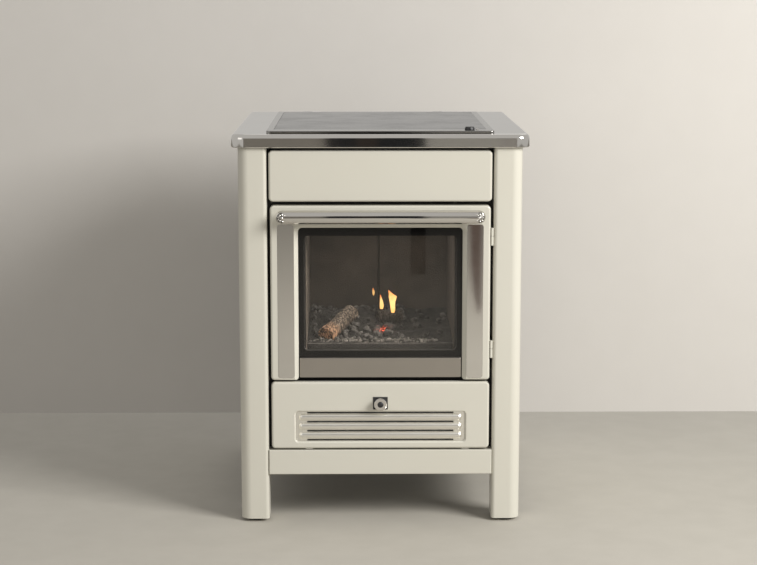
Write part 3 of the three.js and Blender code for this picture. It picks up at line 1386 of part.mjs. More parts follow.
function addDrawer() {
  const drawer = assembly();
  piece(drawer, "drawer_front", drawerFrontGeometry(), creamEnamel);
  piece(drawer, "louvre_grille", grilleGeometry(), polishedSteel);
  piece(drawer, "ash_box", ashBoxGeometry(), galvanised);
  const plateFront = bodyFront - KNOB_PLATE_SHEET;
  const [before, behind] = [plateFront - OVERCUT, bodyFront + OVERCUT];
  const plate = cut(
    block(
      -KNOB_PLATE_WIDTH / 2, KNOB_PLATE_WIDTH / 2, plateFront, bodyFront,
      knobHeight - KNOB_PLATE_HEIGHT / 2, knobHeight + KNOB_PLATE_HEIGHT / 2,
    ),
    rod("y", KNOB_SHAFT_RADIUS + SEAT_GAP, before, behind, [0, knobHeight], PIN_FACETS),
  );
  piece(drawer, "knob_plate", plate, blackPlastic);
  const control = assembly(drawer);
  piece(control, "air_knob", airKnobGeometry(), polishedSteel);
  piece(control, "air_shutter", shutterGeometry(), galvanised);
}

// ---------------------------------------------------------------------------------------------------------
// Hob
// ---------------------------------------------------------------------------------------------------------

/** Places of the two knuckles of a hob hinge along X: on the hob, and on the top frame beside it. */
function hobKnuckles(side) {
  const middle = (side * HOB_HINGE_SPACING) / 2;
  const half = MOVING_GAP / 2;
  return {
    moving: [middle - HOB_KNUCKLE_LENGTH - half, middle - half],
    fixed: [middle + half, middle + HOB_KNUCKLE_LENGTH + half],
  };
}

function addHob() {
  const hob = assembly();
  const half = HOB_FRAME_WIDTH / 2;
  const plan = (inset) => {
    const corner = shrunk(HOB_FRAME_CORNER, inset);
    return roundedRect(
      -half + inset, hobFrameFront + inset, half - inset, hobFrameRear - inset, corner,
    );
  };
  const plateHalf = half - HOB_SIDE_MARGIN;
  const plateFront = hobFrameFront + HOB_FRONT_MARGIN;
  const plateRear = hobFrameRear - HOB_REAR_MARGIN;
  const plateAt = (grow) =>
    roundedRect(
      -plateHalf - grow, plateFront - grow, plateHalf + grow, plateRear + grow, HOB_PLATE_CORNER,
    );
  const plateBottom = hobTop - HOB_PLATE_THICKNESS;
  const opening = block(
    -plateHalf + HOB_LEDGE, plateHalf - HOB_LEDGE, plateFront + HOB_LEDGE, plateRear - HOB_LEDGE,
    hobBottom - OVERCUT, hobTop,
  );
  const centre = [hobAxisY, hobAxisZ];
  const knuckles = [1, -1].map((side) => {
    const [start, end] = hobKnuckles(side).moving;
    return join(
      rod("x", HOB_KNUCKLE_RADIUS, start, end, centre, SMALL_FACETS),
      block(start, end, hobFrameRear - OVERCUT, hobAxisY, hobBottom, hobAxisZ),
    );
  });
  const bores = [1, -1].map((side) => {
    const [start, end] = hobKnuckles(side).moving;
    const boreRadius = HOB_PIN_RADIUS + PIN_CLEARANCE;
    return rod("x", boreRadius, start - OVERCUT, end + OVERCUT, centre, SMALL_FACETS);
  });
  const blank = insetStack(plan, roundedEdge(hobBottom, hobTop, HOB_FRAME_EDGE));
  const pocket = levelPlate(plateAt(SEAT_GAP), plateBottom, hobTop + OVERCUT);
  const frame = cut(join(cut(blank, pocket, opening), ...knuckles), ...bores);
  piece(hob, "hob_frame", frame, polishedSteel);
  piece(hob, "hob_plate", levelPlate(plateAt(0), plateBottom, hobTop), hobGlass);

  const knobY = hobFrameFront + HOB_KNOB_SETBACK;
  const knobProfile = [
    [0, 0],
    [HOB_KNOB_RADIUS, 0],
    [HOB_KNOB_RADIUS, HOB_KNOB_SHOULDER * HOB_KNOB_HEIGHT],
    [HOB_KNOB_RADIUS - HOB_KNOB_CHAMFER, HOB_KNOB_HEIGHT],
    [0, HOB_KNOB_HEIGHT],
  ];
  piece(hob, "hob_knob", revolved(knobProfile).translate(HOB_KNOB_OFFSET, knobY, hobTop), blackPlastic);
  const studProfile = [
    [0, 0],
    [HOB_STUD_RADIUS, 0],
    [HOB_STUD_RADIUS, HOB_STUD_SHOULDER * HOB_STUD_HEIGHT],
    [HOB_STUD_CROWN * HOB_STUD_RADIUS, HOB_STUD_BROW * HOB_STUD_HEIGHT],
    [0, HOB_STUD_HEIGHT],
  ];
  const studX = HOB_KNOB_OFFSET + HOB_STUD_OFFSET;
  const stud = revolved(studProfile, SMALL_FACETS).translate(studX, knobY, hobTop);
  piece(hob, "hob_stud", stud, polishedSteel);

  [1, -1].forEach((side) => {
    const { moving, fixed } = hobKnuckles(side);
    const bracket = join(
      rod("x", HOB_KNUCKLE_RADIUS, fixed[0], fixed[1], centre, SMALL_FACETS),
      rod("x", HOB_PIN_RADIUS, moving[0], fixed[1], centre, SMALL_FACETS),
      block(
        fixed[0], fixed[1], hobAxisY, hobAxisY + HOB_HINGE_FLANGE,
        STOVE_HEIGHT, STOVE_HEIGHT + HOB_HINGE_FLANGE_SHEET,
      ),
    );
    piece(assembly(), `hob_hinge_${side > 0 ? "right" : "left"}`, bracket, polishedSteel);
  });
}

// ---------------------------------------------------------------------------------------------------------
// The whole stove
// ---------------------------------------------------------------------------------------------------------

addPosts();
addTopFrame();
addFrontPanels();
addSkins();
addFloorPlate();
addFaceFrame();
addFireboxShell();
addLining();
addHearth();
addFuel();
addFlue();
const fireDoor = addDoor();
addHinge(fireDoor, "lower", doorBottom + HINGE_LOWER_FOOT);
addHinge(fireDoor, "upper", doorTop - HINGE_UPPER_FOOT);
addCatch(fireDoor);
addRunners();
addDrawer();
addHob();

export default stove;
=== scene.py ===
"""Looks of a freestanding wood cookstove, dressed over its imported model.

Every object is in metres in the model's own frame: the origin is on the floor under the middle of the stove,
-Y is the front and +X is the right of someone who stands before it. Sizes are written in millimetres and
turned into metres by MM.
"""

from __future__ import annotations

import json
import logging
import math
import random
from dataclasses import dataclass, field
from enum import Enum
from typing import Any, Iterable, Sequence

import bmesh
import bpy
from mathutils import Euler, Matrix, Vector, noise

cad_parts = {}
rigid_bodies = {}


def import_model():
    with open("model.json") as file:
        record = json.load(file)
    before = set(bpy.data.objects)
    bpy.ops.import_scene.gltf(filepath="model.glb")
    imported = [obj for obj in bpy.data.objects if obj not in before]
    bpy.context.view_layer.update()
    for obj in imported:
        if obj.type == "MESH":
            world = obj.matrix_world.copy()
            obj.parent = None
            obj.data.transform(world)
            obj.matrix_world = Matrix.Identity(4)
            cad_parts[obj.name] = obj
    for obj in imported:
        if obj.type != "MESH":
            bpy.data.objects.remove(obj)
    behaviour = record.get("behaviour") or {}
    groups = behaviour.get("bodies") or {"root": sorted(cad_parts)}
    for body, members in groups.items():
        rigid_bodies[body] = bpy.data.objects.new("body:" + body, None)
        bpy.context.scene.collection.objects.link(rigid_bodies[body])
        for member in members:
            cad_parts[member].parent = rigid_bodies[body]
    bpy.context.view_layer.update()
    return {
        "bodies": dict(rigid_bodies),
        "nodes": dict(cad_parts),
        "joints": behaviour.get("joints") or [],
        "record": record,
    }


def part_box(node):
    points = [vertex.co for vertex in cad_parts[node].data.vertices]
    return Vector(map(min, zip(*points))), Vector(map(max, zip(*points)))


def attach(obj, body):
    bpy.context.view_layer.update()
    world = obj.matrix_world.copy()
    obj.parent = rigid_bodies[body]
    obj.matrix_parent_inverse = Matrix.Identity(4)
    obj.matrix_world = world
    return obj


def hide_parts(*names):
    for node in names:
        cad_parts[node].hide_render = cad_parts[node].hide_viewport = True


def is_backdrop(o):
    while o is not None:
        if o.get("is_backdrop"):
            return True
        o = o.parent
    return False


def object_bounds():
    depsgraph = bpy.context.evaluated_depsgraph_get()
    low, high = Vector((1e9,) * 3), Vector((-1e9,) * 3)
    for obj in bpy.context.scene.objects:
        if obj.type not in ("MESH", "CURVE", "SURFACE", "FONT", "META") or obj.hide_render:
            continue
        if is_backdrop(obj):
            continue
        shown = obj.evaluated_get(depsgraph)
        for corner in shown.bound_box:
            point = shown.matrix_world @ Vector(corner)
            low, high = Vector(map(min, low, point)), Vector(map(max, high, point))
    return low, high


LOG = logging.getLogger("cookstove")
MM = 0.001
SIDES = ("right", "left")
FINE_MERGE = 0.001 * MM
SHARP_EDGE = math.radians(50)
FLAT_ANGLE = math.radians(0.4)
CARRY_MERGE = 0.005 * MM
TURN_MERGE = 0.002 * MM
CUT_TOLERANCE = 1e-7
SAME_PLACE = 1e-6
Colour = tuple[float, float, float]
Point = tuple[float, float, float]
Socket = bpy.types.NodeSocket
Node = bpy.types.Node
Tree = bpy.types.NodeTree
Material = bpy.types.Material
Shape = bmesh.types.BMesh


class Body(Enum):
    """The stove's bodies, which a piece can ride on."""

    STOVE = "stove"
    DOOR = "door"
    CATCH = "catch"
    DRAWER = "drawer"
    AIR_CONTROL = "air_control"
    SHUTTER = "shutter"
    HOB = "hob"


class Slot(Enum):
    """The record's material slots."""

    CREAM = "cream_enamel"
    POLISHED = "polished_steel"
    SATIN = "satin_steel"
    PAINT = "stove_paint"
    PLASTIC = "black_plastic"
    ZINC = "galvanised_steel"
    IRON = "cast_iron"
    BRICK = "firebrick"
    FIRE_GLASS = "fire_glass"
    HOB_GLASS = "hob_glass"
    ROPE = "glass_rope"
    EMBERS = "embers"
    WOOD = "charred_wood"


class Axis(Enum):
    """Directions that a round piece can be turned about."""

    X = (1.0, 0.0, 0.0)
    Y = (0.0, 1.0, 0.0)
    Z = (0.0, 0.0, 1.0)


# ------------------------------------------------------------
# Node trees
# ------------------------------------------------------------


class Graph:
    """A node tree with short calls that add, set and link its nodes."""

    def __init__(self, tree: Tree) -> None:
        """Keeps the tree.

        Args:
            tree: The material's or group's node tree.
        """
        self.tree = tree

    def put(self, socket: Socket, value: Any) -> None:
        """Links an output to a socket, or sets the socket's own value.

        Args:
            socket: The input to fill.
            value: An output socket, a number, or a sequence of numbers.
        """
        if isinstance(value, Socket):
            self.tree.links.new(value, socket)
        elif isinstance(value, (tuple, list)) and socket.type == "RGBA" and len(value) == 3:
            socket.default_value = (*value, 1.0)
        else:
            socket.default_value = value

    def feed(self, node: Node, inputs: dict) -> None:
        """Fills several inputs of a node.

        Args:
            node: The node.
            inputs: Values or outputs, by the input's name or number.
        """
        for key, value in inputs.items():
            self.put(node.inputs[key], value)

    def node(self, kind: str, inputs: dict | None = None, **settings: Any) -> Node:
        """Adds a node.

        Args:
            kind: The node's type name.
            inputs: Values or outputs for its inputs, by name or number.
            **settings: Values for the node's own properties.

        Returns:
            The new node.
        """
        made = self.tree.nodes.new(kind)
        for name, value in settings.items():
            setattr(made, name, value)
        self.feed(made, inputs or {})
        return made

    def place(self) -> Socket:
        """The piece's Object coordinates."""
        return self.node("ShaderNodeTexCoord").outputs["Object"]

    def mapped(self, vector: Socket, scale: Point, turn: Point = (0, 0, 0)) -> Socket:
        """Coordinates that are turned about each axis, in radians, and stretched along it."""
        inputs = {"Vector": vector, "Scale": scale, "Rotation": turn}
        return self.node("ShaderNodeMapping", inputs).outputs["Vector"]

    def cloud(self, vector: Socket, scale: Any, detail: float = 4.0, rough: float = 0.55) -> Socket:
        """A noise pattern's value, about 0.5 on average.

        Args:
            vector: The coordinates.
            scale: Repeats per metre.
            detail: Octaves.
            rough: How strong the finer octaves are.

        Returns:
            The value.
        """
        inputs = {"Vector": vector, "Scale": scale, "Detail": detail, "Roughness": rough}
        return self.node("ShaderNodeTexNoise", inputs).outputs[0]

    def remap(self, value: Any, low: Any, high: Any, start: Any = 0.0, end: Any = 1.0) -> Socket:
        """A value carried from one range to another and clamped there.

        Args:
            value: The value.
            low: Start of the range that is read.
            high: End of the range that is read.
            start: What low becomes.
            end: What high becomes.

        Returns:
            The new value.
        """
        inputs = {"Value": value, "From Min": low, "From Max": high, "To Min": start, "To Max": end}
        return self.node("ShaderNodeMapRange", inputs).outputs["Result"]

    def math(self, operation: str, first: Any, second: Any) -> Socket:
        """The result of a Math node on two values."""
        return self.node("ShaderNodeMath", {0: first, 1: second}, operation=operation).outputs[0]

    def mix(self, share: Any, first: Any, second: Any) -> Socket:
        """A colour between two others: share 0 gives the first, and 1 the second."""
        return self.node("ShaderNodeMix", {0: share, 6: first, 7: second}, data_type="RGBA").outputs[2]

    def bump(self, height: Socket, strength: Any, depth: float) -> Socket:
        """A normal from a height pattern that is depth metres deep at strength 1."""
        inputs = {"Height": height, "Strength": strength, "Distance": depth}
        return self.node("ShaderNodeBump", inputs).outputs["Normal"]

    def parts(self, vector: Socket) -> Sequence[Socket]:
        """The x, y and z outputs of a vector."""
        return self.node("ShaderNodeSeparateXYZ", {"Vector": vector}).outputs

    def cells(self, vector: Socket, scale: Any, **settings: Any) -> Sequence[Socket]:
        """The outputs of a cell pattern with its own settings."""
        return self.node("ShaderNodeTexVoronoi", {"Vector": vector, "Scale": scale}, **settings).outputs

    def distance(self, vector: Socket, point: Point) -> Socket:
        """How far the coordinates are from a point."""
        return self.node("ShaderNodeVectorMath", {0: vector, 1: point}, operation="DISTANCE").outputs["Value"]

    def group(self, effect: Tree, vector: Socket, **values: Any) -> Sequence[Socket]:
        """Places a shared effect.

        Args:
            effect: The effect's node group.
            vector: The coordinates that it reads.
            **values: Its other inputs in this material.

        Returns:
            The effect's outputs.
        """
        return self.node("ShaderNodeGroup", {"Vector": vector, **values}, node_tree=effect).outputs

    def surface(self, share: Socket, first: Socket, second: Socket, output: str = "Material Output") -> None:
        """Mixes two shaders into the tree's output.

        Args:
            share: 0 for the first, 1 for the second.
            first: A shader.
            second: A shader.
            output: The output node's name.
        """
        both = self.node("ShaderNodeMixShader", {0: share, 1: first, 2: second})
        self.put(self.tree.nodes[output].inputs["Surface"], both.outputs[0])


class Effects:
    """Effects that several finishes share, each a node group that is built once."""

    def __init__(self) -> None:
        """Builds the groups."""
        self.mottle = self._mottle()
        self.peel = self._peel()
        self.grain = self._grain()
        self.dust = self._dust()
        self.pits = self._pits()

    @staticmethod
    def _begin(name: str, values: dict[str, float], outputs: dict[str, str]) -> tuple:
        """Starts a group that reads a vector and some values.

        Args:
            name: The group's name.
            values: Name and first value of each input beside the vector.
            outputs: Name and kind of each output.

        Returns:
            The group, its graph, the inputs as outputs of a node, and the node inputs that take its results.
        """
        tree = bpy.data.node_groups.new(name, "ShaderNodeTree")
        tree.interface.new_socket(name="Vector", in_out="INPUT", socket_type="NodeSocketVector")
        for label, value in values.items():
            socket = tree.interface.new_socket(name=label, in_out="INPUT", socket_type="NodeSocketFloat")
            socket.default_value = value
        for label, kind in outputs.items():
            tree.interface.new_socket(name=label, in_out="OUTPUT", socket_type="NodeSocket" + kind)
        graph = Graph(tree)
        return tree, graph, graph.node("NodeGroupInput").outputs, graph.node("NodeGroupOutput").inputs

    def _mottle(self) -> Tree:
        """Slow blotches over a surface, as a mask between two levels."""
        values = {"Scale": 8.0, "Low": 0.35, "High": 0.65}
        tree, graph, given, result = self._begin("mottle", values, {"Mask": "Float"})
        cloud = graph.cloud(given["Vector"], given["Scale"])
        graph.put(result["Mask"], graph.remap(cloud, given["Low"], given["High"]))
        return tree

    def _peel(self) -> Tree:
        """The soft unevenness of a sprayed or dipped coat, as a normal."""
        values = {"Scale": 260.0, "Strength": 0.1}
        tree, graph, given, result = self._begin("coat_peel", values, {"Normal": "Vector"})
        cloud = graph.cloud(given["Vector"], given["Scale"], 2.0)
        graph.put(result["Normal"], graph.bump(cloud, given["Strength"], 0.4 * MM))
        return tree

    def _grain(self) -> Tree:
        """Fine strokes of a brush or polishing wheel, as a mask; the vector arrives already stretched."""
        outputs = {"Mask": "Float", "Strokes": "Float"}
        tree, graph, given, result = self._begin("metal_grain", {"Scale": 40.0}, outputs)
        strokes = graph.cloud(given["Vector"], given["Scale"], 6.0, 0.7)
        graph.put(result["Strokes"], strokes)
        graph.put(result["Mask"], graph.remap(strokes, 0.3, 0.7))
        return tree

    def _dust(self) -> Tree:
        """Ash and dust that settle on upward faces, as a mask."""
        values = {"Scale": 60.0, "Amount": 0.5}
        tree, graph, given, result = self._begin("settled_dust", values, {"Mask": "Float"})
        up = graph.parts(graph.node("ShaderNodeNewGeometry").outputs["Normal"])["Z"]
        cloud = graph.cloud(given["Vector"], given["Scale"], 5.0, 0.65)
        level = graph.math("MULTIPLY", graph.remap(up, 0.2, 0.9), graph.remap(cloud, 0.35, 0.65))
        graph.put(result["Mask"], graph.math("MULTIPLY", level, given["Amount"]))
        return tree

    def _pits(self) -> Tree:
        """Small pits of a cast or fired surface, as a height."""
        tree, graph, given, result = self._begin("fired_pits", {"Scale": 300.0}, {"Height": "Float"})
        cells = graph.cells(given["Vector"], given["Scale"])
        coarse = graph.cloud(given["Vector"], given["Scale"], 5.0, 0.6)
        graph.put(result["Height"], graph.math("ADD", graph.remap(cells["Distance"], 0.0, 0.45), coarse))
        return tree


# ------------------------------------------------------------
# Finishes
# ------------------------------------------------------------


@dataclass(frozen=True)
class Finish:
    """What a surface is made of, built as a material with one Principled shader."""

    name: str

    def build(self, effects: Effects) -> Material:
        """Builds the material.

        Args:
            effects: The shared node groups.

        Returns:
            The material.
        """
        material = bpy.data.materials.new(self.name)
        material.use_nodes = True
        graph = Graph(material.node_tree)
        self.fill(graph, material.node_tree.nodes["Principled BSDF"], graph.place(), effects)
        return material

    def fill(self, graph: Graph, shader: Node, place: Socket, effects: Effects) -> None:
        """Fills the shader.

        Args:
            graph: The material's graph.
            shader: Its Principled shader.
            place: The piece's Object coordinates.
            effects: The shared node groups.
        """
        raise NotImplementedError


@dataclass(frozen=True)
class Enamel(Finish):
    """Glossy stove enamel, or matt stove paint: a coat over sheet metal."""

    colour: Colour
    shade: Colour
    roughness: tuple[float, float]
    peel: float = 0.08
    coat: float = 0.0
    blotch: float = 3.0
    dust: float = 0.0
    dust_colour: Colour = (0.30, 0.28, 0.26)
    coat_roughness: float = 0.12
    dust_scale: float = 45.0
    fine_scale: float = 22.0
    peel_scale: float = 240.0

    def fill(self, graph: Graph, shader: Node, place: Socket, effects: Effects) -> None:
        """Slow blotches, a soft unevenness and some dust."""
        mask = graph.group(effects.mottle, place, Scale=self.blotch)["Mask"]
        colour = graph.mix(mask, self.colour, self.shade)
        if self.dust:
            dust = graph.group(effects.dust, place, Scale=self.dust_scale, Amount=self.dust)["Mask"]
            colour = graph.mix(dust, colour, self.dust_colour)
        fine = graph.group(effects.mottle, place, Scale=self.fine_scale)["Mask"]
        peel = graph.group(effects.peel, place, Scale=self.peel_scale, Strength=self.peel)["Normal"]
        graph.feed(shader, {
            "Base Color": colour,
            "Roughness": graph.remap(fine, 0.0, 1.0, *self.roughness),
            "Normal": peel,
            "Coat Weight": self.coat,
            "Coat Roughness": self.coat_roughness,
        })


@dataclass(frozen=True)
class Metal(Finish):
    """Bare metal: polished, brushed or zinc coated."""

    colour: Colour
    shade: Colour
    roughness: tuple[float, float]
    stretch: Point = (1.0, 30.0, 30.0)
    grain: float = 40.0
    depth: float = 0.0
    spangle: float = 0.0
    spangle_share: float = 0.6
    spangle_rough: float = 0.08
    blotch: float = 6.0
    relief: float = 0.3

    def fill(self, graph: Graph, shader: Node, place: Socket, effects: Effects) -> None:
        """Fine strokes, slow blotches and, on zinc, flat crystals."""
        strokes = graph.group(effects.grain, graph.mapped(place, self.stretch), Scale=self.grain)
        blotches = graph.group(effects.mottle, place, Scale=self.blotch)["Mask"]
        colour = graph.mix(blotches, self.colour, self.shade)
        rough = graph.remap(strokes["Mask"], 0.0, 1.0, *self.roughness)
        if self.spangle:
            flake = graph.parts(graph.cells(place, self.spangle)["Color"])["X"]
            colour = graph.mix(graph.remap(flake, 0.0, 1.0, 0.0, self.spangle_share), colour, self.shade)
            change = graph.remap(flake, 0.0, 1.0, -self.spangle_rough, self.spangle_rough)
            rough = graph.math("ADD", rough, change)
        graph.feed(shader, {"Base Color": colour, "Roughness": rough, "Metallic": 1.0})
        if self.depth:
            graph.put(shader.inputs["Normal"], graph.bump(strokes["Strokes"], self.relief, self.depth))


@dataclass(frozen=True)
class Moulded(Finish):
    """Black moulded plastic or rubber with a fine spark-eroded texture."""

    colour: Colour
    roughness: tuple[float, float]
    texture: float = 0.25
    texture_scale: float = 1800.0
    patch: float = 60.0
    dust_scale: float = 120.0
    dust: float = 0.15
    dust_colour: Colour = (0.2, 0.19, 0.18)

    def fill(self, graph: Graph, shader: Node, place: Socket, effects: Effects) -> None:
        """Worn patches, a little dust and the texture."""
        mask = graph.group(effects.mottle, place, Scale=self.patch)["Mask"]
        dust = graph.group(effects.dust, place, Scale=self.dust_scale, Amount=self.dust)["Mask"]
        texture = graph.group(effects.peel, place, Scale=self.texture_scale, Strength=self.texture)["Normal"]
        worn = tuple(1.6 * part + 0.01 for part in self.colour)
        graph.feed(shader, {
            "Base Color": graph.mix(dust, graph.mix(mask, self.colour, worn), self.dust_colour),
            "Roughness": graph.remap(mask, 0.0, 1.0, *self.roughness),
            "Normal": texture,
        })


@dataclass(frozen=True)
class Mineral(Finish):
    """Cast iron, firebrick or woven rope: matt, pitted, with soot and ash."""

    colour: Colour
    shade: Colour
    ash: Colour
    pits: float
    depth: float
    dust: float
    roughness: float = 0.85
    metallic: float = 0.0
    soot_above: float = 0.0
    soot: Colour = (0.035, 0.031, 0.028)
    soot_band: float = 0.16
    soot_share: float = 0.75
    wobble_scale: float = 9.0
    wobble: float = 0.12
    patch: float = 18.0
    ash_scale: float = 70.0
    relief: float = 0.55
    rough_range: float = 0.12

    def fill(self, graph: Graph, shader: Node, place: Socket, effects: Effects) -> None:
        """Blotches, soot above a wavering height, ash and pits."""
        mask = graph.group(effects.mottle, place, Scale=self.patch, Low=0.3, High=0.7)["Mask"]
        colour = graph.mix(mask, self.colour, self.shade)
        if self.soot_above:
            wobble = graph.math("MULTIPLY", graph.cloud(place, self.wobble_scale), self.wobble)
            level = graph.math("ADD", graph.parts(place)["Z"], wobble)
            top = self.soot_above + self.soot_band
            share = graph.remap(level, self.soot_above, top, 0.0, self.soot_share)
            colour = graph.mix(share, colour, self.soot)
        ash = graph.group(effects.dust, place, Scale=self.ash_scale, Amount=self.dust)["Mask"]
        height = graph.group(effects.pits, place, Scale=self.pits)["Height"]
        graph.feed(shader, {
            "Base Color": graph.mix(ash, colour, self.ash),
            "Normal": graph.bump(height, self.relief, self.depth),
            "Roughness": graph.remap(mask, 0.0, 1.0, self.roughness, self.roughness + self.rough_range),
            "Metallic": self.metallic,
        })


@dataclass(frozen=True)
class ClearGlass(Finish):
    """The door's ceramic pane: a smoked, clear sheet that lets lamplight through."""

    tint: Colour
    haze_scale: float = 9.0
    haze: float = 0.03
    refraction: float = 1.47

    def fill(self, graph: Graph, shader: Node, place: Socket, effects: Effects) -> None:
        """Clear glass with a faint haze, and plain transparency for shadows."""
        haze = graph.group(effects.mottle, place, Scale=self.haze_scale)["Mask"]
        graph.feed(shader, {
            "Roughness": graph.remap(haze, 0.0, 1.0, 0.0, self.haze),
            "Base Color": self.tint,
            "Transmission Weight": 1.0,
            "IOR": self.refraction,
        })
        passing = graph.node("ShaderNodeBsdfTransparent", {"Color": self.tint})
        share = graph.node("ShaderNodeLightPath").outputs["Is Shadow Ray"]
        graph.surface(share, shader.outputs[0], passing.outputs[0])


@dataclass(frozen=True)
class CookingGlass(Finish):
    """The hob's dark glass-ceramic, with the faint grey flecks that it is made with."""

    colour: Colour
    fleck: Colour
    fleck_scale: float = 420.0
    fleck_rim: tuple[float, float] = (0.12, 0.2)
    wipe_scale: float = 12.0
    roughness: tuple[float, float] = (0.09, 0.17)
    refraction: float = 1.54

    def fill(self, graph: Graph, shader: Node, place: Socket, effects: Effects) -> None:
        """Small flecks under a surface with wiped patches."""
        dots = graph.remap(graph.cells(place, self.fleck_scale)["Distance"], *self.fleck_rim, 1.0, 0.0)
        wiped = graph.group(effects.mottle, place, Scale=self.wipe_scale)["Mask"]
        graph.feed(shader, {
            "Base Color": graph.mix(dots, self.colour, self.fleck),
            "Roughness": graph.remap(wiped, 0.0, 1.0, *self.roughness),
            "IOR": self.refraction,
        })


@dataclass(frozen=True)
class Coals(Finish):
    """Grey coals and pebbles whose cracks glow round one spot."""

    pale: Colour
    dark: Colour
    glow_at: Point
    glow_reach: float
    glow: float
    glow_colour: Colour = (1.0, 0.13, 0.05)
    falloff: float = 1.6
    crack_scale: float = 130.0
    patch: float = 75.0
    ash_scale: float = 160.0
    ash: float = 0.45
    pits: float = 420.0
    relief: float = 0.7
    depth: float = 1.2 * MM
    roughness: float = 0.95

    def fill(self, graph: Graph, shader: Node, place: Socket, effects: Effects) -> None:
        """Blotches under ash, pits, and heat in the cracks near the spot."""
        mask = graph.group(effects.mottle, place, Scale=self.patch, Low=0.38, High=0.62)["Mask"]
        ash = graph.group(effects.dust, place, Scale=self.ash_scale, Amount=self.ash)["Mask"]
        height = graph.group(effects.pits, place, Scale=self.pits)["Height"]
        near = graph.remap(graph.distance(place, self.glow_at), 0.0, self.glow_reach, 1.0, 0.0)
        cracks = graph.remap(graph.cloud(place, self.crack_scale, 3.0), 0.50, 0.62)
        heat = graph.math("MULTIPLY", graph.math("POWER", near, self.falloff), cracks)
        graph.feed(shader, {
            "Base Color": graph.mix(ash, graph.mix(mask, self.dark, self.pale), self.pale),
            "Normal": graph.bump(height, self.relief, self.depth),
            "Emission Color": graph.mix(heat, (0.0, 0.0, 0.0), self.glow_colour),
            "Emission Strength": self.glow,
            "Roughness": self.roughness,
        })


@dataclass(frozen=True)
class Bark(Finish):
    """A split log: cracked bark along its length, with firelight painted onto one end."""

    bark: Colour
    crack: Colour
    turn: Point
    # Firelight painted onto the log's lower end: where it is centred, its colour and how far it reaches.
    painted_firelight_at: Point
    painted_firelight: Colour
    painted_firelight_reach: float
    ash: Colour = (0.34, 0.31, 0.28)
    ash_scale: float = 150.0
    ash_share: float = 0.35
    stretch: Point = (170.0, 170.0, 45.0)
    crack_rim: tuple[float, float] = (0.02, 0.14)
    fibres: float = 3.0
    relief: float = 0.8
    depth: float = 1.5 * MM
    roughness: float = 0.9

    def fill(self, graph: Graph, shader: Node, place: Socket, effects: Effects) -> None:
        """Fibres and cracks along the log, ash, and firelight painted onto one end."""
        along = graph.mapped(place, self.stretch, self.turn)
        edges = graph.cells(along, 1.0, feature="DISTANCE_TO_EDGE")["Distance"]
        crack = graph.remap(edges, *self.crack_rim, 1.0, 0.0)
        fibre = graph.cloud(along, self.fibres, 5.0, 0.7)
        # Painted firelight: near the lower end the bark turns to the painted firelight colour.
        painted_firelight_share = graph.remap(graph.distance(place, self.painted_firelight_at), 0.0, self.painted_firelight_reach, 1.0, 0.0)
        bark = graph.mix(painted_firelight_share, graph.mix(graph.remap(fibre, 0.35, 0.65), self.crack, self.bark), self.painted_firelight)
        ash = graph.group(effects.dust, place, Scale=self.ash_scale, Amount=self.ash_share)["Mask"]
        graph.feed(shader, {
            "Base Color": graph.mix(crack, graph.mix(ash, bark, self.ash), self.crack),
            "Normal": graph.bump(graph.math("SUBTRACT", fibre, crack), self.relief, self.depth),
            "Roughness": self.roughness,
        })


@dataclass(frozen=True)
class Flame(Finish):
    """A small flame: yellow low down, orange at its tip, thin at its rim."""

    base: float
    tip: float
    strength: float
    root_colour: Colour = (1.0, 0.50, 0.14)
    heart_colour: Colour = (1.0, 0.66, 0.25)
    tip_colour: Colour = (1.0, 0.28, 0.07)
    waver_scale: float = 90.0
    waver: float = 0.15
    rim: float = 0.35
    density: float = 0.95

    def fill(self, graph: Graph, shader: Node, place: Socket, effects: Effects) -> None:
        """Colours up the flame, which fades towards its outline."""
        level = graph.remap(graph.parts(place)["Z"], self.base, self.tip)
        waver = graph.remap(graph.cloud(place, self.waver_scale, 2.0), 0.3, 0.7, -self.waver, self.waver)
        lick = graph.math("ADD", level, waver)
        hot = graph.mix(graph.remap(lick, 0.0, 0.55), self.root_colour, self.heart_colour)
        rim = graph.node("ShaderNodeLayerWeight", {"Blend": self.rim}).outputs["Facing"]
        graph.feed(shader, {
            "Base Color": (0.0, 0.0, 0.0),
            "Specular IOR Level": 0.0,
            "Emission Strength": self.strength,
            "Emission Color": graph.mix(graph.remap(lick, 0.45, 1.0), hot, self.tip_colour),
            "Alpha": graph.remap(rim, 0.35, 0.95, self.density, 0.0),
        })


@dataclass(frozen=True)
class StageColour(Finish):
    """A floor, wall or card: one matt colour with a slight cloud in it."""

    colour: Colour
    shade: Colour
    one_sided: bool = False
    slow_scale: float = 1.6
    fine_scale: float = 14.0
    roughness: float = 0.75

    def fill(self, graph: Graph, shader: Node, place: Socket, effects: Effects) -> None:
        """Two sizes of blotches, and nothing at all from behind where it is one-sided."""
        slow = graph.group(effects.mottle, place, Scale=self.slow_scale)["Mask"]
        fine = graph.group(effects.mottle, place, Scale=self.fine_scale)["Mask"]
        share = graph.math("MULTIPLY", graph.math("ADD", slow, fine), 0.5)
        colour = graph.mix(share, self.colour, self.shade)
        graph.feed(shader, {"Base Color": colour, "Roughness": self.roughness})
        if self.one_sided:
            clear = graph.node("ShaderNodeBsdfTransparent")
            behind = graph.node("ShaderNodeNewGeometry").outputs["Backfacing"]
            graph.surface(behind, shader.outputs[0], clear.outputs[0])


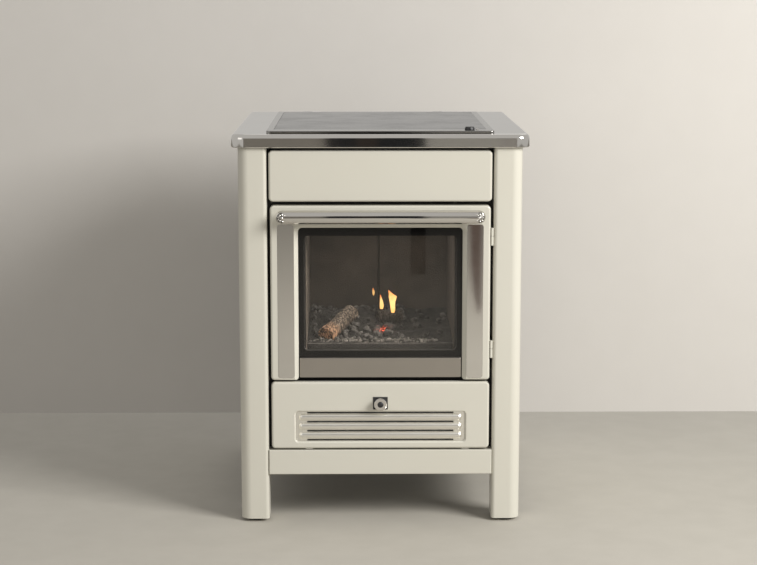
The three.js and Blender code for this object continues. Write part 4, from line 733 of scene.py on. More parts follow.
FINISHES: dict[Slot, Finish] = {
    Slot.CREAM: Enamel(
        "cream_enamel", (0.620, 0.600, 0.525), (0.612, 0.590, 0.512), (0.285, 0.305), peel=0.03, coat=0.2
    ),
    Slot.POLISHED: Metal("polished_steel", (0.74, 0.725, 0.70), (0.71, 0.69, 0.665), (0.04, 0.08)),
    Slot.SATIN: Metal(
        "satin_steel", (0.46, 0.425, 0.385), (0.43, 0.40, 0.36), (0.30, 0.42),
        stretch=(2.0, 60.0, 60.0), grain=60.0, depth=0.02 * MM,
    ),
    Slot.PAINT: Enamel(
        "stove_paint", (0.016, 0.015, 0.015), (0.024, 0.022, 0.021), (0.50, 0.62),
        peel=0.15, blotch=8.0, dust=0.12,
    ),
    Slot.PLASTIC: Moulded("black_plastic", (0.012, 0.012, 0.013), (0.32, 0.45)),
    Slot.ZINC: Metal(
        "galvanised_steel", (0.50, 0.51, 0.52), (0.40, 0.41, 0.42), (0.34, 0.46),
        stretch=(6.0, 6.0, 6.0), grain=20.0, spangle=90.0,
    ),
    Slot.IRON: Mineral(
        "cast_iron", (0.030, 0.028, 0.027), (0.055, 0.050, 0.046), (0.34, 0.32, 0.30),
        pits=420.0, depth=0.5 * MM, dust=0.8, roughness=0.6, metallic=0.4,
    ),
    Slot.BRICK: Mineral(
        "firebrick", (0.130, 0.108, 0.088), (0.095, 0.080, 0.067), (0.30, 0.28, 0.25),
        pits=260.0, depth=0.5 * MM, dust=0.6, soot_above=0.56,
    ),
    Slot.FIRE_GLASS: ClearGlass("fire_glass", (0.78, 0.76, 0.73)),
    Slot.HOB_GLASS: CookingGlass("hob_glass", (0.020, 0.021, 0.022), (0.09, 0.09, 0.092)),
    Slot.ROPE: Mineral(
        "glass_rope", (0.045, 0.042, 0.040), (0.075, 0.070, 0.065), (0.2, 0.19, 0.18),
        pits=900.0, depth=0.8 * MM, dust=0.3,
    ),
}


# ------------------------------------------------------------
# Shapes
# ------------------------------------------------------------


def bevel(shape: Shape, edges: list, width: float, segments: int = 2) -> None:
    """Rounds edges of a shape.

    Args:
        shape: The shape.
        edges: The edges to round.
        width: How wide the rounding is.
        segments: Faces across it.
    """
    bmesh.ops.bevel(
        shape, geom=edges, offset=width, segments=segments, profile=0.5, affect="EDGES", material=-1,
        clamp_overlap=True,
    )


def box(low: Point, high: Point, edge: float, segments: int) -> Shape:
    """A box with rounded edges.

    Args:
        low: Lowest corner, in metres.
        high: Highest corner.
        edge: Width of the rounding.
        segments: Faces across the rounding.

    Returns:
        The shape.
    """
    shape = bmesh.new()
    bmesh.ops.create_cube(shape, size=1.0)
    bmesh.ops.scale(shape, vec=Vector(high) - Vector(low), verts=shape.verts)
    bmesh.ops.translate(shape, vec=(Vector(low) + Vector(high)) / 2, verts=shape.verts)
    bevel(shape, shape.edges[:], edge, segments)
    return shape


def turned(profile: Sequence[tuple[float, float]], axis: Axis, centre: Point, steps: int = 48) -> Shape:
    """A profile spun into a round shape.

    Args:
        profile: Radius and height of each point, from the axis back to the axis for a closed shape.
        axis: The axis; heights run along it.
        centre: The point where the height is 0.
        steps: Faces round the shape.

    Returns:
        The shape.
    """
    shape = bmesh.new()
    along = Vector(axis.value)
    out = Vector(Axis.X.value if axis is not Axis.X else Axis.Z.value)
    points = [shape.verts.new(Vector(centre) + out * radius + along * height) for radius, height in profile]
    edges = [shape.edges.new(pair) for pair in zip(points, points[1:])]
    bmesh.ops.spin(
        shape, geom=points + edges, axis=along, cent=centre, angle=math.tau, steps=steps, use_merge=True
    )
    bmesh.ops.remove_doubles(shape, verts=shape.verts, dist=TURN_MERGE)
    bmesh.ops.recalc_face_normals(shape, faces=shape.faces)
    return shape


def merged(shapes: Iterable[Shape]) -> Shape:
    """Several shapes as one, side by side.

    Args:
        shapes: The shapes, which are freed.

    Returns:
        The one shape.
    """
    whole = bmesh.new()
    for shape in shapes:
        mesh = bpy.data.meshes.new("part")
        shape.to_mesh(mesh)
        shape.free()
        whole.from_mesh(mesh)
        bpy.data.meshes.remove(mesh)
    return whole


def moved(shape: Shape, by: Point) -> Shape:
    """The same shape, moved by a distance along each axis."""
    bmesh.ops.translate(shape, vec=Vector(by), verts=shape.verts)
    return shape


def hex_bolt(centre: Point, outward: Point, across: float, height: float) -> Shape:
    """A hexagon head on a thin washer.

    Args:
        centre: Where its washer sits.
        outward: The way that the head points.
        across: Width of the head.
        height: Height of the head.

    Returns:
        The shape.
    """
    washer_height = 0.8 * MM
    head = bmesh.new()
    half = across / 2
    bmesh.ops.create_cone(head, cap_ends=True, segments=6, radius1=half, radius2=half, depth=height)
    rim = [edge for edge in head.edges if all(vert.co.z > 0 for vert in edge.verts)]
    bevel(head, rim, 0.12 * height)
    moved(head, (0, 0, height / 2 + washer_height))
    rings = [(0, 0), (0.8, 0), (0.82, 0.5), (0.78, 1), (0, 1)]
    profile = [(out * across, lift * washer_height) for out, lift in rings]
    bolt = merged([head, turned(profile, Axis.Z, (0, 0, 0), 24)])
    turn = Vector((0, 0, 1)).rotation_difference(Vector(outward)).to_matrix()
    bmesh.ops.rotate(bolt, cent=(0, 0, 0), matrix=turn, verts=bolt.verts)
    return moved(bolt, centre)


def domed_bar(length: float, height: float, rise: float, segments: int) -> Shape:
    """A bar along X with a domed front, round ends and a flat back in the plane y = 0.

    Args:
        length: Length over the round ends.
        height: Height of the bar.
        rise: How far the dome stands out to -Y.
        segments: Faces round a whole turn of the dome.

    Returns:
        The shape.
    """
    straight = length / 2 - height / 2
    bar = bmesh.new()
    bmesh.ops.create_uvsphere(bar, u_segments=segments, v_segments=segments // 2, radius=1.0)
    bmesh.ops.rotate(bar, cent=(0, 0, 0), matrix=Matrix.Rotation(math.pi / 2, 3, "Y"), verts=bar.verts)
    bmesh.ops.scale(bar, vec=(height / 2, rise, height / 2), verts=bar.verts)
    for normal in ((0, 1, 0), (-1, 0, 0)):
        bmesh.ops.bisect_plane(
            bar, geom=bar.verts[:] + bar.edges[:] + bar.faces[:], dist=CUT_TOLERANCE, plane_co=(0, 0, 0),
            plane_no=normal, clear_outer=True,
        )
    moved(bar, (straight, 0, 0))
    open_edges = [edge for edge in bar.edges if edge.is_boundary]
    rim = [edge for edge in open_edges if all(abs(vert.co.x - straight) < SAME_PLACE for vert in edge.verts)]
    grown = bmesh.ops.extrude_edge_only(bar, edges=rim)["geom"]
    new_verts = [part for part in grown if isinstance(part, bmesh.types.BMVert)]
    bmesh.ops.translate(bar, vec=(-straight, 0, 0), verts=new_verts)
    bmesh.ops.mirror(bar, geom=bar.verts[:] + bar.edges[:] + bar.faces[:], axis="X", merge_dist=FINE_MERGE)
    bmesh.ops.contextual_create(bar, geom=[edge for edge in bar.edges if edge.is_boundary])
    bmesh.ops.remove_doubles(bar, verts=bar.verts, dist=FINE_MERGE)
    bmesh.ops.recalc_face_normals(bar, faces=bar.faces)
    return bar


# ------------------------------------------------------------
# Putting pieces on the stove
# ------------------------------------------------------------


class Workshop:
    """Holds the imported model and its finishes, and puts dressed pieces on the stove."""

    def __init__(self, frame: dict) -> None:
        """Builds the finishes.
        """
        self.frame = frame
        self.effects = Effects()
        self.paints = {slot: finish.build(self.effects) for slot, finish in FINISHES.items()}
        record = frame["record"]
        self.slots = {part["node"]: Slot(part["material_slot"]) for part in record["subparts"]}
        bodies = record["behaviour"]["bodies"]
        self.bodies = {node: Body(body) for body, nodes in bodies.items() for node in nodes}
        self.count = 0

    def add(
        self,
        shape: Shape,
        name: str,
        body: Body,
        slot: Slot,
        material: Material | None = None,
        replaces: Sequence[str] = (),
        smooth: float = 35.0,
        weighted: bool = True,
    ) -> None:
        """Turns a shape into a finished piece of the stove.

        Args:
            shape: The shape, which is freed.
            name: The piece's name.
            body: The body that it rides on.
            slot: The material slot that it takes its finish from.
            material: A material of its own, or None for the slot's.
            replaces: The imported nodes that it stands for.
            smooth: Edges sharper than this, in degrees, stay sharp.
            weighted: Whether large faces keep their shading flat.
        """
        mesh = bpy.data.meshes.new(name)
        shape.to_mesh(mesh)
        shape.free()
        mesh.shade_smooth()
        mesh.set_sharp_from_angle(angle=math.radians(smooth))
        mesh.materials.append(material or self.paints[slot])
        piece = bpy.data.objects.new(name, mesh)
        bpy.context.scene.collection.objects.link(piece)
        if weighted:
            piece.modifiers.new("face_normals", "WEIGHTED_NORMAL").keep_sharp = True
        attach(piece, body.value)
        if replaces:
            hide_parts(*replaces)
        self.count += 1
        LOG.info("%s: %d faces on %s", name, len(mesh.polygons), body.value)

    def carry(
        self, node: str, edge: float = 0.0, smooth: float = 35.0, material: Material | None = None
    ) -> None:
        """Adds a smooth-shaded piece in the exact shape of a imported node.

        Args:
            node: The node.
            edge: Width of a small bevel on its sharp edges.
            smooth: Edges sharper than this, in degrees, stay sharp.
            material: A material of its own, or None for the slot's.
        """
        shape = bmesh.new()
        shape.from_mesh(self.frame["nodes"][node].data)
        bmesh.ops.remove_doubles(shape, verts=shape.verts, dist=CARRY_MERGE)
        bmesh.ops.dissolve_limit(
            shape, angle_limit=FLAT_ANGLE, use_dissolve_boundaries=False, verts=shape.verts, edges=shape.edges
        )
        if edge:
            sharp = [e for e in shape.edges if e.is_manifold and e.calc_face_angle(0.0) > SHARP_EDGE]
            bevel(shape, sharp, edge)
        self.add(shape, node + "_finished", self.bodies[node], self.slots[node], material, [node], smooth)

    def dress(self, *nodes: str) -> None:
        """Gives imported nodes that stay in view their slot's material.

        Args:
            *nodes: The nodes.
        """
        for node in nodes:
            mesh = self.frame["nodes"][node].data
            mesh.materials.clear()
            mesh.materials.append(self.paints[self.slots[node]])
            LOG.info("%s: dressed as it is", node)


def span(node: str) -> tuple[Vector, Vector]:
    """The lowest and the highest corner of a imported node."""
    lowest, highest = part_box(node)
    return Vector(lowest), Vector(highest)


# ------------------------------------------------------------
# Sub-assemblies
# ------------------------------------------------------------


@dataclass
class Assembly:
    """A sub-assembly.

    Attributes:
        shop: Where its pieces are made.
    """

    shop: Workshop

    def build(self) -> None:
        """Builds and dresses its pieces."""
        raise NotImplementedError


@dataclass
class Carcass(Assembly):
    """Posts, feet and the sheet panels between them."""

    foot_edge: float = 0.6 * MM
    bolt_across: float = 8 * MM
    bolt_height: float = 3.5 * MM
    bolt_inset: float = 9 * MM
    bolt_rows: int = 4

    def build(self) -> None:
        """Posts on their feet, panels, and the frame and floor behind them."""
        for row in ("front", "rear"):
            for side in SIDES:
                self.shop.carry(f"post_{row}_{side}")
                self.shop.carry(f"foot_{row}_{side}", self.foot_edge)
        for node in ("upper_panel", "plinth_rail", "side_panel_right", "side_panel_left", "back_panel"):
            self.shop.carry(node)
        self.shop.dress("floor_plate", "face_frame")
        self.back_bolts()

    def back_bolts(self) -> None:
        """Bolts down both edges of the back panel, which hold it to the posts' flanges."""
        first, last = span("back_panel")
        bolts = []
        for row in range(self.bolt_rows):
            share = (row + 0.5) / self.bolt_rows
            height = first.z + share * (last.z - first.z)
            for x in (first.x + self.bolt_inset, last.x - self.bolt_inset):
                bolts.append(hex_bolt((x, last.y, height), (0, 1, 0), self.bolt_across, self.bolt_height))
        self.shop.add(merged(bolts), "back_panel_bolts", Body.STOVE, Slot.ZINC, smooth=30)


@dataclass
class Top(Assembly):
    """The polished top frame with the lifting hob."""

    screw_radius: float = 3.2 * MM
    screw_height: float = 1.1 * MM
    screw_setback: float = 9 * MM
    screw_pitch: float = 12 * MM
    flange: float = 1.5 * MM
    cooking_edge: float = 0.5 * MM
    knob_edge: float = 0.6 * MM

    def build(self) -> None:
        """The frame, the hob with its plate and knob, and the hinges."""
        trim = Metal("hob_trim_steel", (0.40, 0.392, 0.380), (0.37, 0.363, 0.352), (0.10, 0.16))
        self.shop.carry("top_frame")
        self.shop.carry("hob_frame", material=trim.build(self.shop.effects))
        self.shop.carry("hob_plate", self.cooking_edge)
        self.shop.carry("hob_knob", self.knob_edge)
        self.shop.carry("hob_stud")
        for side in SIDES:
            self.shop.carry(f"hob_hinge_{side}")
            self.hinge_screws(f"hob_hinge_{side}")

    def hinge_screws(self, node: str) -> None:
        """Two pan-head screws through a hob hinge's flange.

        Args:
            node: The hinge.
        """
        first, last = span(node)
        centre_x = 0.25 * first.x + 0.75 * last.x
        seat_y, seat_z = last.y - self.screw_setback, first.z + self.flange
        screws = [self.screw((centre_x + step * self.screw_pitch, seat_y, seat_z)) for step in (-0.5, 0.5)]
        self.shop.add(merged(screws), node + "_screws", Body.STOVE, Slot.POLISHED)

    def screw(self, at: Point) -> Shape:
        """A pan-head screw with a socket.

        Args:
            at: Middle of its underside.

        Returns:
            The shape.
        """
        shares = [(0, 0), (1, 0), (1, 0.3), (0.85, 0.8), (0.6, 1), (0.45, 1), (0.42, 0.35), (0, 0.3)]
        profile = [(out * self.screw_radius, lift * self.screw_height) for out, lift in shares]
        return turned(profile, Axis.Z, at, 24)


@dataclass
class FireDoor(Assembly):
    """The glazed door with its handle, strips, trim, seal and hinges."""

    strip_edge: float = 0.3 * MM
    handle_end: float = 13.5 * MM
    handle_facets: int = 48
    rosette_petals: int = 9
    petal: Point = (3.1 * MM, 1.3 * MM, 1.35 * MM)
    petal_ring: float = 6.8 * MM
    petal_lift: float = 0.2 * MM
    petal_lean: float = 0.55
    rosette_facets: int = 64
    collar: float = 9.5 * MM
    collar_bore: float = 6.05 * MM
    collar_height: float = 3 * MM
    bolt_across: float = 5.5 * MM
    bolt_height: float = 2.2 * MM
    bolt_inset: float = 12 * MM

    def build(self) -> None:
        """The door's sheet parts and hinges, then the turned and small ones."""
        shop = self.shop
        shop.carry("door_panel")
        shop.carry("door_liner")
        shop.carry("door_rope", smooth=60.0)
        shop.dress("door_glass")
        shop.carry("door_bottom_trim")
        for side in SIDES:
            shop.carry(f"door_strip_{side}", self.strip_edge)
            shop.carry(f"handle_post_{side}")
        for name in ("lower", "upper"):
            shop.carry(f"hinge_leaf_{name}")
            shop.carry(f"hinge_fixed_{name}")
        shop.dress("door_striker", "catch_bracket")
        shop.carry("catch_roller")
        self.handle()
        self.rosettes()
        self.collars()
        self.liner_bolts()

    def handle(self) -> None:
        """The domed handle bar."""
        first, last = span("handle_bar")
        bar = domed_bar(last.x - first.x, last.z - first.z, last.y - first.y, self.handle_facets)
        moved(bar, (0, last.y, (first.z + last.z) / 2))
        self.shop.add(bar, "handle_bar_domed", Body.DOOR, Slot.POLISHED, replaces=["handle_bar"], smooth=50)

    def rosettes(self) -> None:
        """A dulled round recess with bright petals, a boss and a rim on each round end of the handle."""
        shop = self.shop
        recessed = Metal("rosette_recess", (0.26, 0.25, 0.235), (0.16, 0.155, 0.145), (0.30, 0.42))
        dull = recessed.build(shop.effects)
        first, last = span("handle_bar")
        rise, radius = last.y - first.y, self.handle_end
        centre_z = (first.z + last.z) / 2

        def surface(out: float) -> float:
            return rise * math.sqrt(max(0.0, 1 - (out / radius) ** 2))

        def relief(rings: Sequence[tuple[float, float]], at: Point) -> Shape:
            profile = [(out * MM, -surface(out * MM) - lift * MM) for out, lift in rings]
            return turned(profile, Axis.Y, at, self.rosette_facets)

        recess = [(out, 0.12) for out in (0.0, 2.5, 5.0, 7.5, 9.5, 11.3)] + [(11.8, -0.5)]
        rim = [(10.6, -0.5), (10.7, 0.5), (11.1, 1.0), (11.7, 1.0), (12.1, 0.4), (12.2, -0.8)]
        boss = [(0.0, 1.5), (1.5, 1.35), (2.6, 0.9), (3.1, 0.1)]
        for side, x in (("right", last.x - radius), ("left", first.x + radius)):
            at = (x, last.y, centre_z)
            name = f"handle_recess_{side}"
            shop.add(relief(recess, at), name, Body.DOOR, Slot.POLISHED, dull, weighted=False)
            parts = [relief(rim, at), relief(boss, at)]
            front = last.y - surface(self.petal_ring) - self.petal_lift
            for i in range(self.rosette_petals):
                angle = math.tau * i / self.rosette_petals
                petal = bmesh.new()
                bmesh.ops.create_icosphere(petal, subdivisions=3, radius=1.0)
                bmesh.ops.scale(petal, vec=self.petal, verts=petal.verts)
                turn = Matrix.Rotation(-angle - self.petal_lean, 3, "Y")
                bmesh.ops.rotate(petal, cent=(0, 0, 0), matrix=turn, verts=petal.verts)
                right, up = self.petal_ring * math.cos(angle), self.petal_ring * math.sin(angle)
                parts.append(moved(petal, (x + right, front, centre_z + up)))
            name = f"handle_rosette_{side}"
            shop.add(merged(parts), name, Body.DOOR, Slot.POLISHED, smooth=70, weighted=False)

    def collars(self) -> None:
        """A turned collar where each handle post meets the door's front."""
        bore, rim, height = self.collar_bore, self.collar, self.collar_height
        profile = [
            (bore, 0), (rim, 0), (rim, -0.35 * height), (0.86 * rim, -0.8 * height), (bore, -height),
            (bore, 0),
        ]
        for side in SIDES:
            first, last = span(f"handle_post_{side}")
            post = (first + last) / 2
            shape = turned(profile, Axis.Y, (post.x, last.y, post.z), 48)
            self.shop.add(shape, f"handle_collar_{side}", Body.DOOR, Slot.POLISHED)

    def liner_bolts(self) -> None:
        """Bolts on the back of the liner, which clamp the glass."""
        first, last = span("door_liner")
        bolts = []
        for x in (first.x + self.bolt_inset, last.x - self.bolt_inset):
            for share in (0.12, 0.88):
                at = (x, last.y, first.z + share * (last.z - first.z))
                bolts.append(hex_bolt(at, (0, 1, 0), self.bolt_across, self.bolt_height))
        self.shop.add(merged(bolts), "liner_bolts", Body.DOOR, Slot.ZINC, smooth=30)


@dataclass
class Firebox(Assembly):
    """The welded shell with its lining, grate, baffle and flue collar."""

    brick_edge: float = 0.8 * MM
    grate_edge: float = 0.6 * MM

    def build(self) -> None:
        """The bricks, and what stands round them."""
        for place in ("right", "left", "back_right", "back_left"):
            self.shop.carry(f"firebrick_{place}", self.brick_edge)
        self.shop.dress("firebox_shell", "baffle_plate", "hearth_plate")
        self.shop.carry("grate", self.grate_edge)
        self.shop.carry("log_guard")
        self.shop.carry("flue_collar")


@dataclass(frozen=True)
class Log:
    """One log of the fire, in millimetres.

    Attributes:
        place: Which log it is.
        start: Middle of its lower end.
        end: Middle of its upper end.
        radius: Its mean radius.
        bark: The bark's colour.
        painted_firelight: Firelight painted onto its lower end.
        painted_firelight_reach: How far that painted firelight goes.
    """

    place: str
    start: Point
    end: Point
    radius: float
    bark: Colour
    painted_firelight: Colour
    painted_firelight_reach: float


@dataclass
class Fire(Assembly):
    """The bed of coals with two short logs and small flames."""

    seed: int = 11
    coal_count: int = 260
    coal_radius: tuple[float, float] = (4.0, 9.0)
    coal_margins: tuple[float, float, float] = (8 * MM, 14 * MM, 10 * MM)
    sparse_from: float = 45 * MM
    sparse_share: float = 0.75
    pebble_count: int = 210
    pebble_radius: tuple[float, float] = (1.8, 3.6)
    pebble_run: tuple[float, float] = (-146, 120)
    pebble_band: tuple[float, float] = (4, 20)
    grid: int = 70
    bed_level: float = 366 * MM
    bed_rise: float = 24 * MM
    bed_waves: float = 3 * MM
    heaps: tuple = (
        (-128, -110, 32, 24), (-40, -120, 34, 30), (-28, -170, 30, 14), (25, -140, 30, 6), (115, -60, 60, -12)
    )
    log_facets: int = 40
    log_cuts: int = 36
    flame_y: float = -190
    glow_at: Point = (9 * MM, -205 * MM, 378 * MM)
    first: Vector = field(init=False)
    last: Vector = field(init=False)

    def build(self) -> None:
        """The bed, the coals and pebbles on it, the logs and the flames."""
        grey = Coals("grey_coals", (0.175, 0.166, 0.158), (0.020, 0.019, 0.018), self.glow_at, 24 * MM, 3.0)
        pale = Coals("pale_pebbles", (0.33, 0.31, 0.285), (0.07, 0.065, 0.06), self.glow_at, 20 * MM, 2.0)
        soot = Coals("sooty_ash", (0.055, 0.052, 0.049), (0.014, 0.013, 0.013), self.glow_at, 24 * MM, 3.0)
        self.first, self.last = span("ember_bed")
        self.bed(soot)
        self.coals(grey)
        self.pebbles(pale)
        self.logs()
        self.flames()

    def put(
        self, shape: Shape, name: str, finish: Finish, smooth: float, replaces: Sequence[str] = ()
    ) -> None:
        """Adds a piece of the fire.

        Args:
            shape: The shape, which is freed.
            name: The piece's name.
            finish: Its own finish.
            smooth: Edges sharper than this, in degrees, stay sharp.
            replaces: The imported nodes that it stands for.
        """
        slot = Slot.WOOD if isinstance(finish, Bark) else Slot.EMBERS
        material = finish.build(self.shop.effects)
        self.shop.add(shape, name, Body.STOVE, slot, material, replaces, smooth, weighted=False)

    def height(self, x: float, y: float) -> float:
        """How high the bed lies at a place: low at the guard, with heaps further back.

        Args:
            x: The place's x.
            y: The place's y.

        Returns:
            The height above the floor, in metres.
        """
        back = (y - self.first.y) / (self.last.y - self.first.y)
        level = self.bed_level + self.bed_rise * math.sin(min(back, 1.0) * math.pi / 2)
        for heap_x, heap_y, spread, top in self.heaps:
            distance = math.hypot(x - heap_x * MM, y - heap_y * MM) / (spread * MM)
            level += top * MM * math.exp(-distance * distance)
        return level + self.bed_waves * noise.noise(Vector((x, y, 0)) * 45)

    def bed(self, finish: Coals) -> None:
        """The ash under the coals, heaped to the rear.

        Args:
            finish: The ash's finish.
        """
        first, last = self.first, self.last
        bed = bmesh.new()
        bmesh.ops.create_grid(bed, x_segments=self.grid, y_segments=self.grid, size=0.5)
        bmesh.ops.scale(bed, vec=(last.x - first.x, last.y - first.y, 1), verts=bed.verts)
        bmesh.ops.translate(bed, vec=((first.x + last.x) / 2, (first.y + last.y) / 2, 0), verts=bed.verts)
        for vert in bed.verts:
            vert.co.z = self.height(vert.co.x, vert.co.y)
        rim = [edge for edge in bed.edges if edge.is_boundary]
        skirt = bmesh.ops.extrude_edge_only(bed, edges=rim)["geom"]
        for part in skirt:
            if isinstance(part, bmesh.types.BMVert):
                part.co.z = first.z
        bmesh.ops.contextual_create(bed, geom=[edge for edge in bed.edges if edge.is_boundary])
        bmesh.ops.recalc_face_normals(bed, faces=bed.faces)
        self.put(bed, "ash_bed", finish, 60, ["ember_bed"])

    def lump(self, chance: random.Random, radius: float, divisions: int, at: Point) -> Shape:
        """One rough coal.

        Args:
            chance: Where its shape comes from.
            radius: Its size.
            divisions: How finely it is divided.
            at: Its middle.

        Returns:
            The shape.
        """
        coal = bmesh.new()
        bmesh.ops.create_icosphere(coal, subdivisions=divisions, radius=radius)
        shift = Vector([chance.uniform(-50, 50) for _ in range(3)])
        for vert in coal.verts:
            way = vert.co.normalized()
            rough = noise.noise(way * 1.7 + shift) * 0.45 + noise.noise(way * 4.0 + shift) * 0.2
            vert.co = vert.co * (1 + rough)
        squash = (chance.uniform(0.8, 1.25), chance.uniform(0.8, 1.25), chance.uniform(0.6, 0.95))
        bmesh.ops.scale(coal, vec=squash, verts=coal.verts)
        turn = Euler([chance.uniform(0, math.tau) for _ in range(3)]).to_matrix()
        bmesh.ops.rotate(coal, cent=(0, 0, 0), matrix=turn, verts=coal.verts)
        return moved(coal, at)

    def coals(self, finish: Coals) -> None:
        """Coals over the bed, fewer of them at the right.

        Args:
            finish: The coals' finish.
        """
        chance = random.Random(self.seed)
        first, last = self.first, self.last
        side, front, rear = self.coal_margins
        lumps = []
        for _ in range(self.coal_count):
            radius = chance.uniform(*self.coal_radius) * MM
            x = chance.uniform(first.x + side, last.x - side)
            y = chance.uniform(first.y + front, last.y - rear)
            if x > self.sparse_from and chance.random() < self.sparse_share:
                continue
            lumps.append(self.lump(chance, radius, 2, (x, y, self.height(x, y) + 0.35 * radius)))
        self.put(merged(lumps), "coals", finish, 55)

    def pebbles(self, finish: Coals) -> None:
        """A row of pale chips behind the guard.

        Args:
            finish: The chips' finish.
        """
        chance = random.Random(self.seed + 1)
        front = span("log_guard")[1].y
        chips = []
        for _ in range(self.pebble_count):
            radius = chance.uniform(*self.pebble_radius) * MM
            x = chance.uniform(*self.pebble_run) * MM
            y = front + chance.uniform(*self.pebble_band) * MM
            lift = self.height(x, y) + chance.uniform(0.0, 0.9) * radius
            chips.append(self.lump(chance, radius, 1, (x, y, lift)))
        self.put(merged(chips), "pale_pebbles", finish, 55)

    def logs(self) -> None:
        """The two short logs: a barked one in front, and a charred one behind."""
        # Painted firelight for each log's lower end: orange on the front log, a dim brownish tint on the rear
        # one.
        orange, dim_painted_firelight = (0.95, 0.50, 0.26), (0.14, 0.10, 0.08)
        barked, charred = (0.42, 0.325, 0.245), (0.10, 0.084, 0.070)
        self.log(Log("front", (-112, -262, 378), (-58, -176, 412), 17.5, barked, orange, 38))
        self.log(Log("rear", (-6, -156, 396), (46, -142, 394), 17, charred, dim_painted_firelight, 20))

    def log(self, log: Log) -> None:
        """Builds one log with rough bark.

        Args:
            log: Its place, size and colours.
        """
        start, end, radius = Vector(log.start) * MM, Vector(log.end) * MM, log.radius * MM
        length = (end - start).length
        wood = bmesh.new()
        bmesh.ops.create_cone(
            wood, cap_ends=True, segments=self.log_facets, radius1=radius, radius2=0.92 * radius, depth=length
        )
        sides = [edge for edge in wood.edges if abs(edge.verts[0].co.z - edge.verts[1].co.z) > 0.5 * length]
        bmesh.ops.subdivide_edges(wood, edges=sides, cuts=self.log_cuts, use_grid_fill=True)
        caps = [face for face in wood.faces if len(face.verts) > 8]
        bmesh.ops.inset_individual(wood, faces=caps, thickness=0.25 * radius, depth=-0.8 * MM)
        bmesh.ops.inset_individual(wood, faces=caps, thickness=0.3 * radius, depth=0.5 * MM)
        bmesh.ops.poke(wood, faces=caps)
        for vert in wood.verts:
            out = Vector((vert.co.x, vert.co.y, 0))
            if out.length > 0.8 * radius:
                way = out.normalized()
                ridge = noise.noise(Vector((way.x * 4.5, way.y * 4.5, vert.co.z * 22)))
                rough = noise.noise(vert.co * 160)
                swell = noise.noise(Vector((way.x, way.y, vert.co.z * 12)) * 1.2)
                vert.co += way * (ridge * 1.8 + rough * 0.9 + swell * 2.2) * MM
            vert.co.z += 1.5 * MM * noise.noise(vert.co * 90)
        turn = Vector((0, 0, 1)).rotation_difference(end - start)
        bmesh.ops.rotate(wood, cent=(0, 0, 0), matrix=turn.to_matrix(), verts=wood.verts)
        moved(wood, (start + end) / 2)
        name = f"{log.place}_log"
        back = tuple(turn.inverted().to_euler())
        crack = (0.022, 0.018, 0.016)
        finish = Bark(name + "_bark", log.bark, crack, back, tuple(start), log.painted_firelight, log.painted_firelight_reach * MM)
        self.put(wood, name, finish, 50, [f"log_{log.place}"])

    def flames(self) -> None:
        """Three small flames over the rear log, each by x, height and half width of its rings."""
        left = [
            (4, 421, 3.2), (4.4, 427, 4.2), (4.2, 434, 3.8), (3.2, 441, 2.6), (2.2, 447, 1.3), (1.6, 452, 0.2),
        ]
        right = [
            (28, 413, 3.4), (28, 420, 4.8), (27.5, 428, 5.2), (27, 436, 6.0), (27.5, 443, 7.8),
            (27.5, 448, 8.6), (24.5, 452, 5.0), (21, 457, 2.2), (19, 461, 0.3),
        ]
        spark = [(-13, 449, 0.4), (-12.8, 453, 2.0), (-12.8, 457, 2.6), (-13.4, 461, 1.8), (-14, 466, 0.3)]
        for name, rings, strength in (("left", left, 1.9), ("right", right, 2.1), ("loose", spark, 1.2)):
            self.flame(name, rings, strength)

    def flame(self, name: str, rings: Sequence[tuple[float, float, float]], strength: float) -> None:
        """One flame, drawn up through rings.

        Args:
            name: Which flame it is.
            rings: x, height and half width of each ring, in millimetres.
            strength: How bright it is.
        """
        flame = bmesh.new()
        x, z, half = rings[0]
        ring = bmesh.ops.create_circle(flame, cap_ends=False, segments=20, radius=half * MM)["verts"]
        bmesh.ops.scale(flame, vec=(1, 0.5, 1), verts=ring)
        bmesh.ops.translate(flame, vec=Vector((x, self.flame_y, z)) * MM, verts=ring)
        edges = flame.edges[:]
        bmesh.ops.contextual_create(flame, geom=edges)
        for (x0, z0, half0), (x1, z1, half1) in zip(rings, rings[1:]):
            grown = bmesh.ops.extrude_edge_only(flame, edges=edges)["geom"]
            verts = [part for part in grown if isinstance(part, bmesh.types.BMVert)]
            edges = [part for part in grown if isinstance(part, bmesh.types.BMEdge)]
            centre = Vector((x0, self.flame_y, z0)) * MM
            share = half1 / half0
            bmesh.ops.scale(flame, vec=(share, share, 1), space=Matrix.Translation(-centre), verts=verts)
            bmesh.ops.translate(flame, vec=Vector((x1 - x0, 0, z1 - z0)) * MM, verts=verts)
        bmesh.ops.contextual_create(flame, geom=edges)
        bmesh.ops.recalc_face_normals(flame, faces=flame.faces)
        name = f"flame_{name}"
        self.put(flame, name, Flame(name, rings[0][1] * MM, rings[-1][1] * MM, strength), 80)


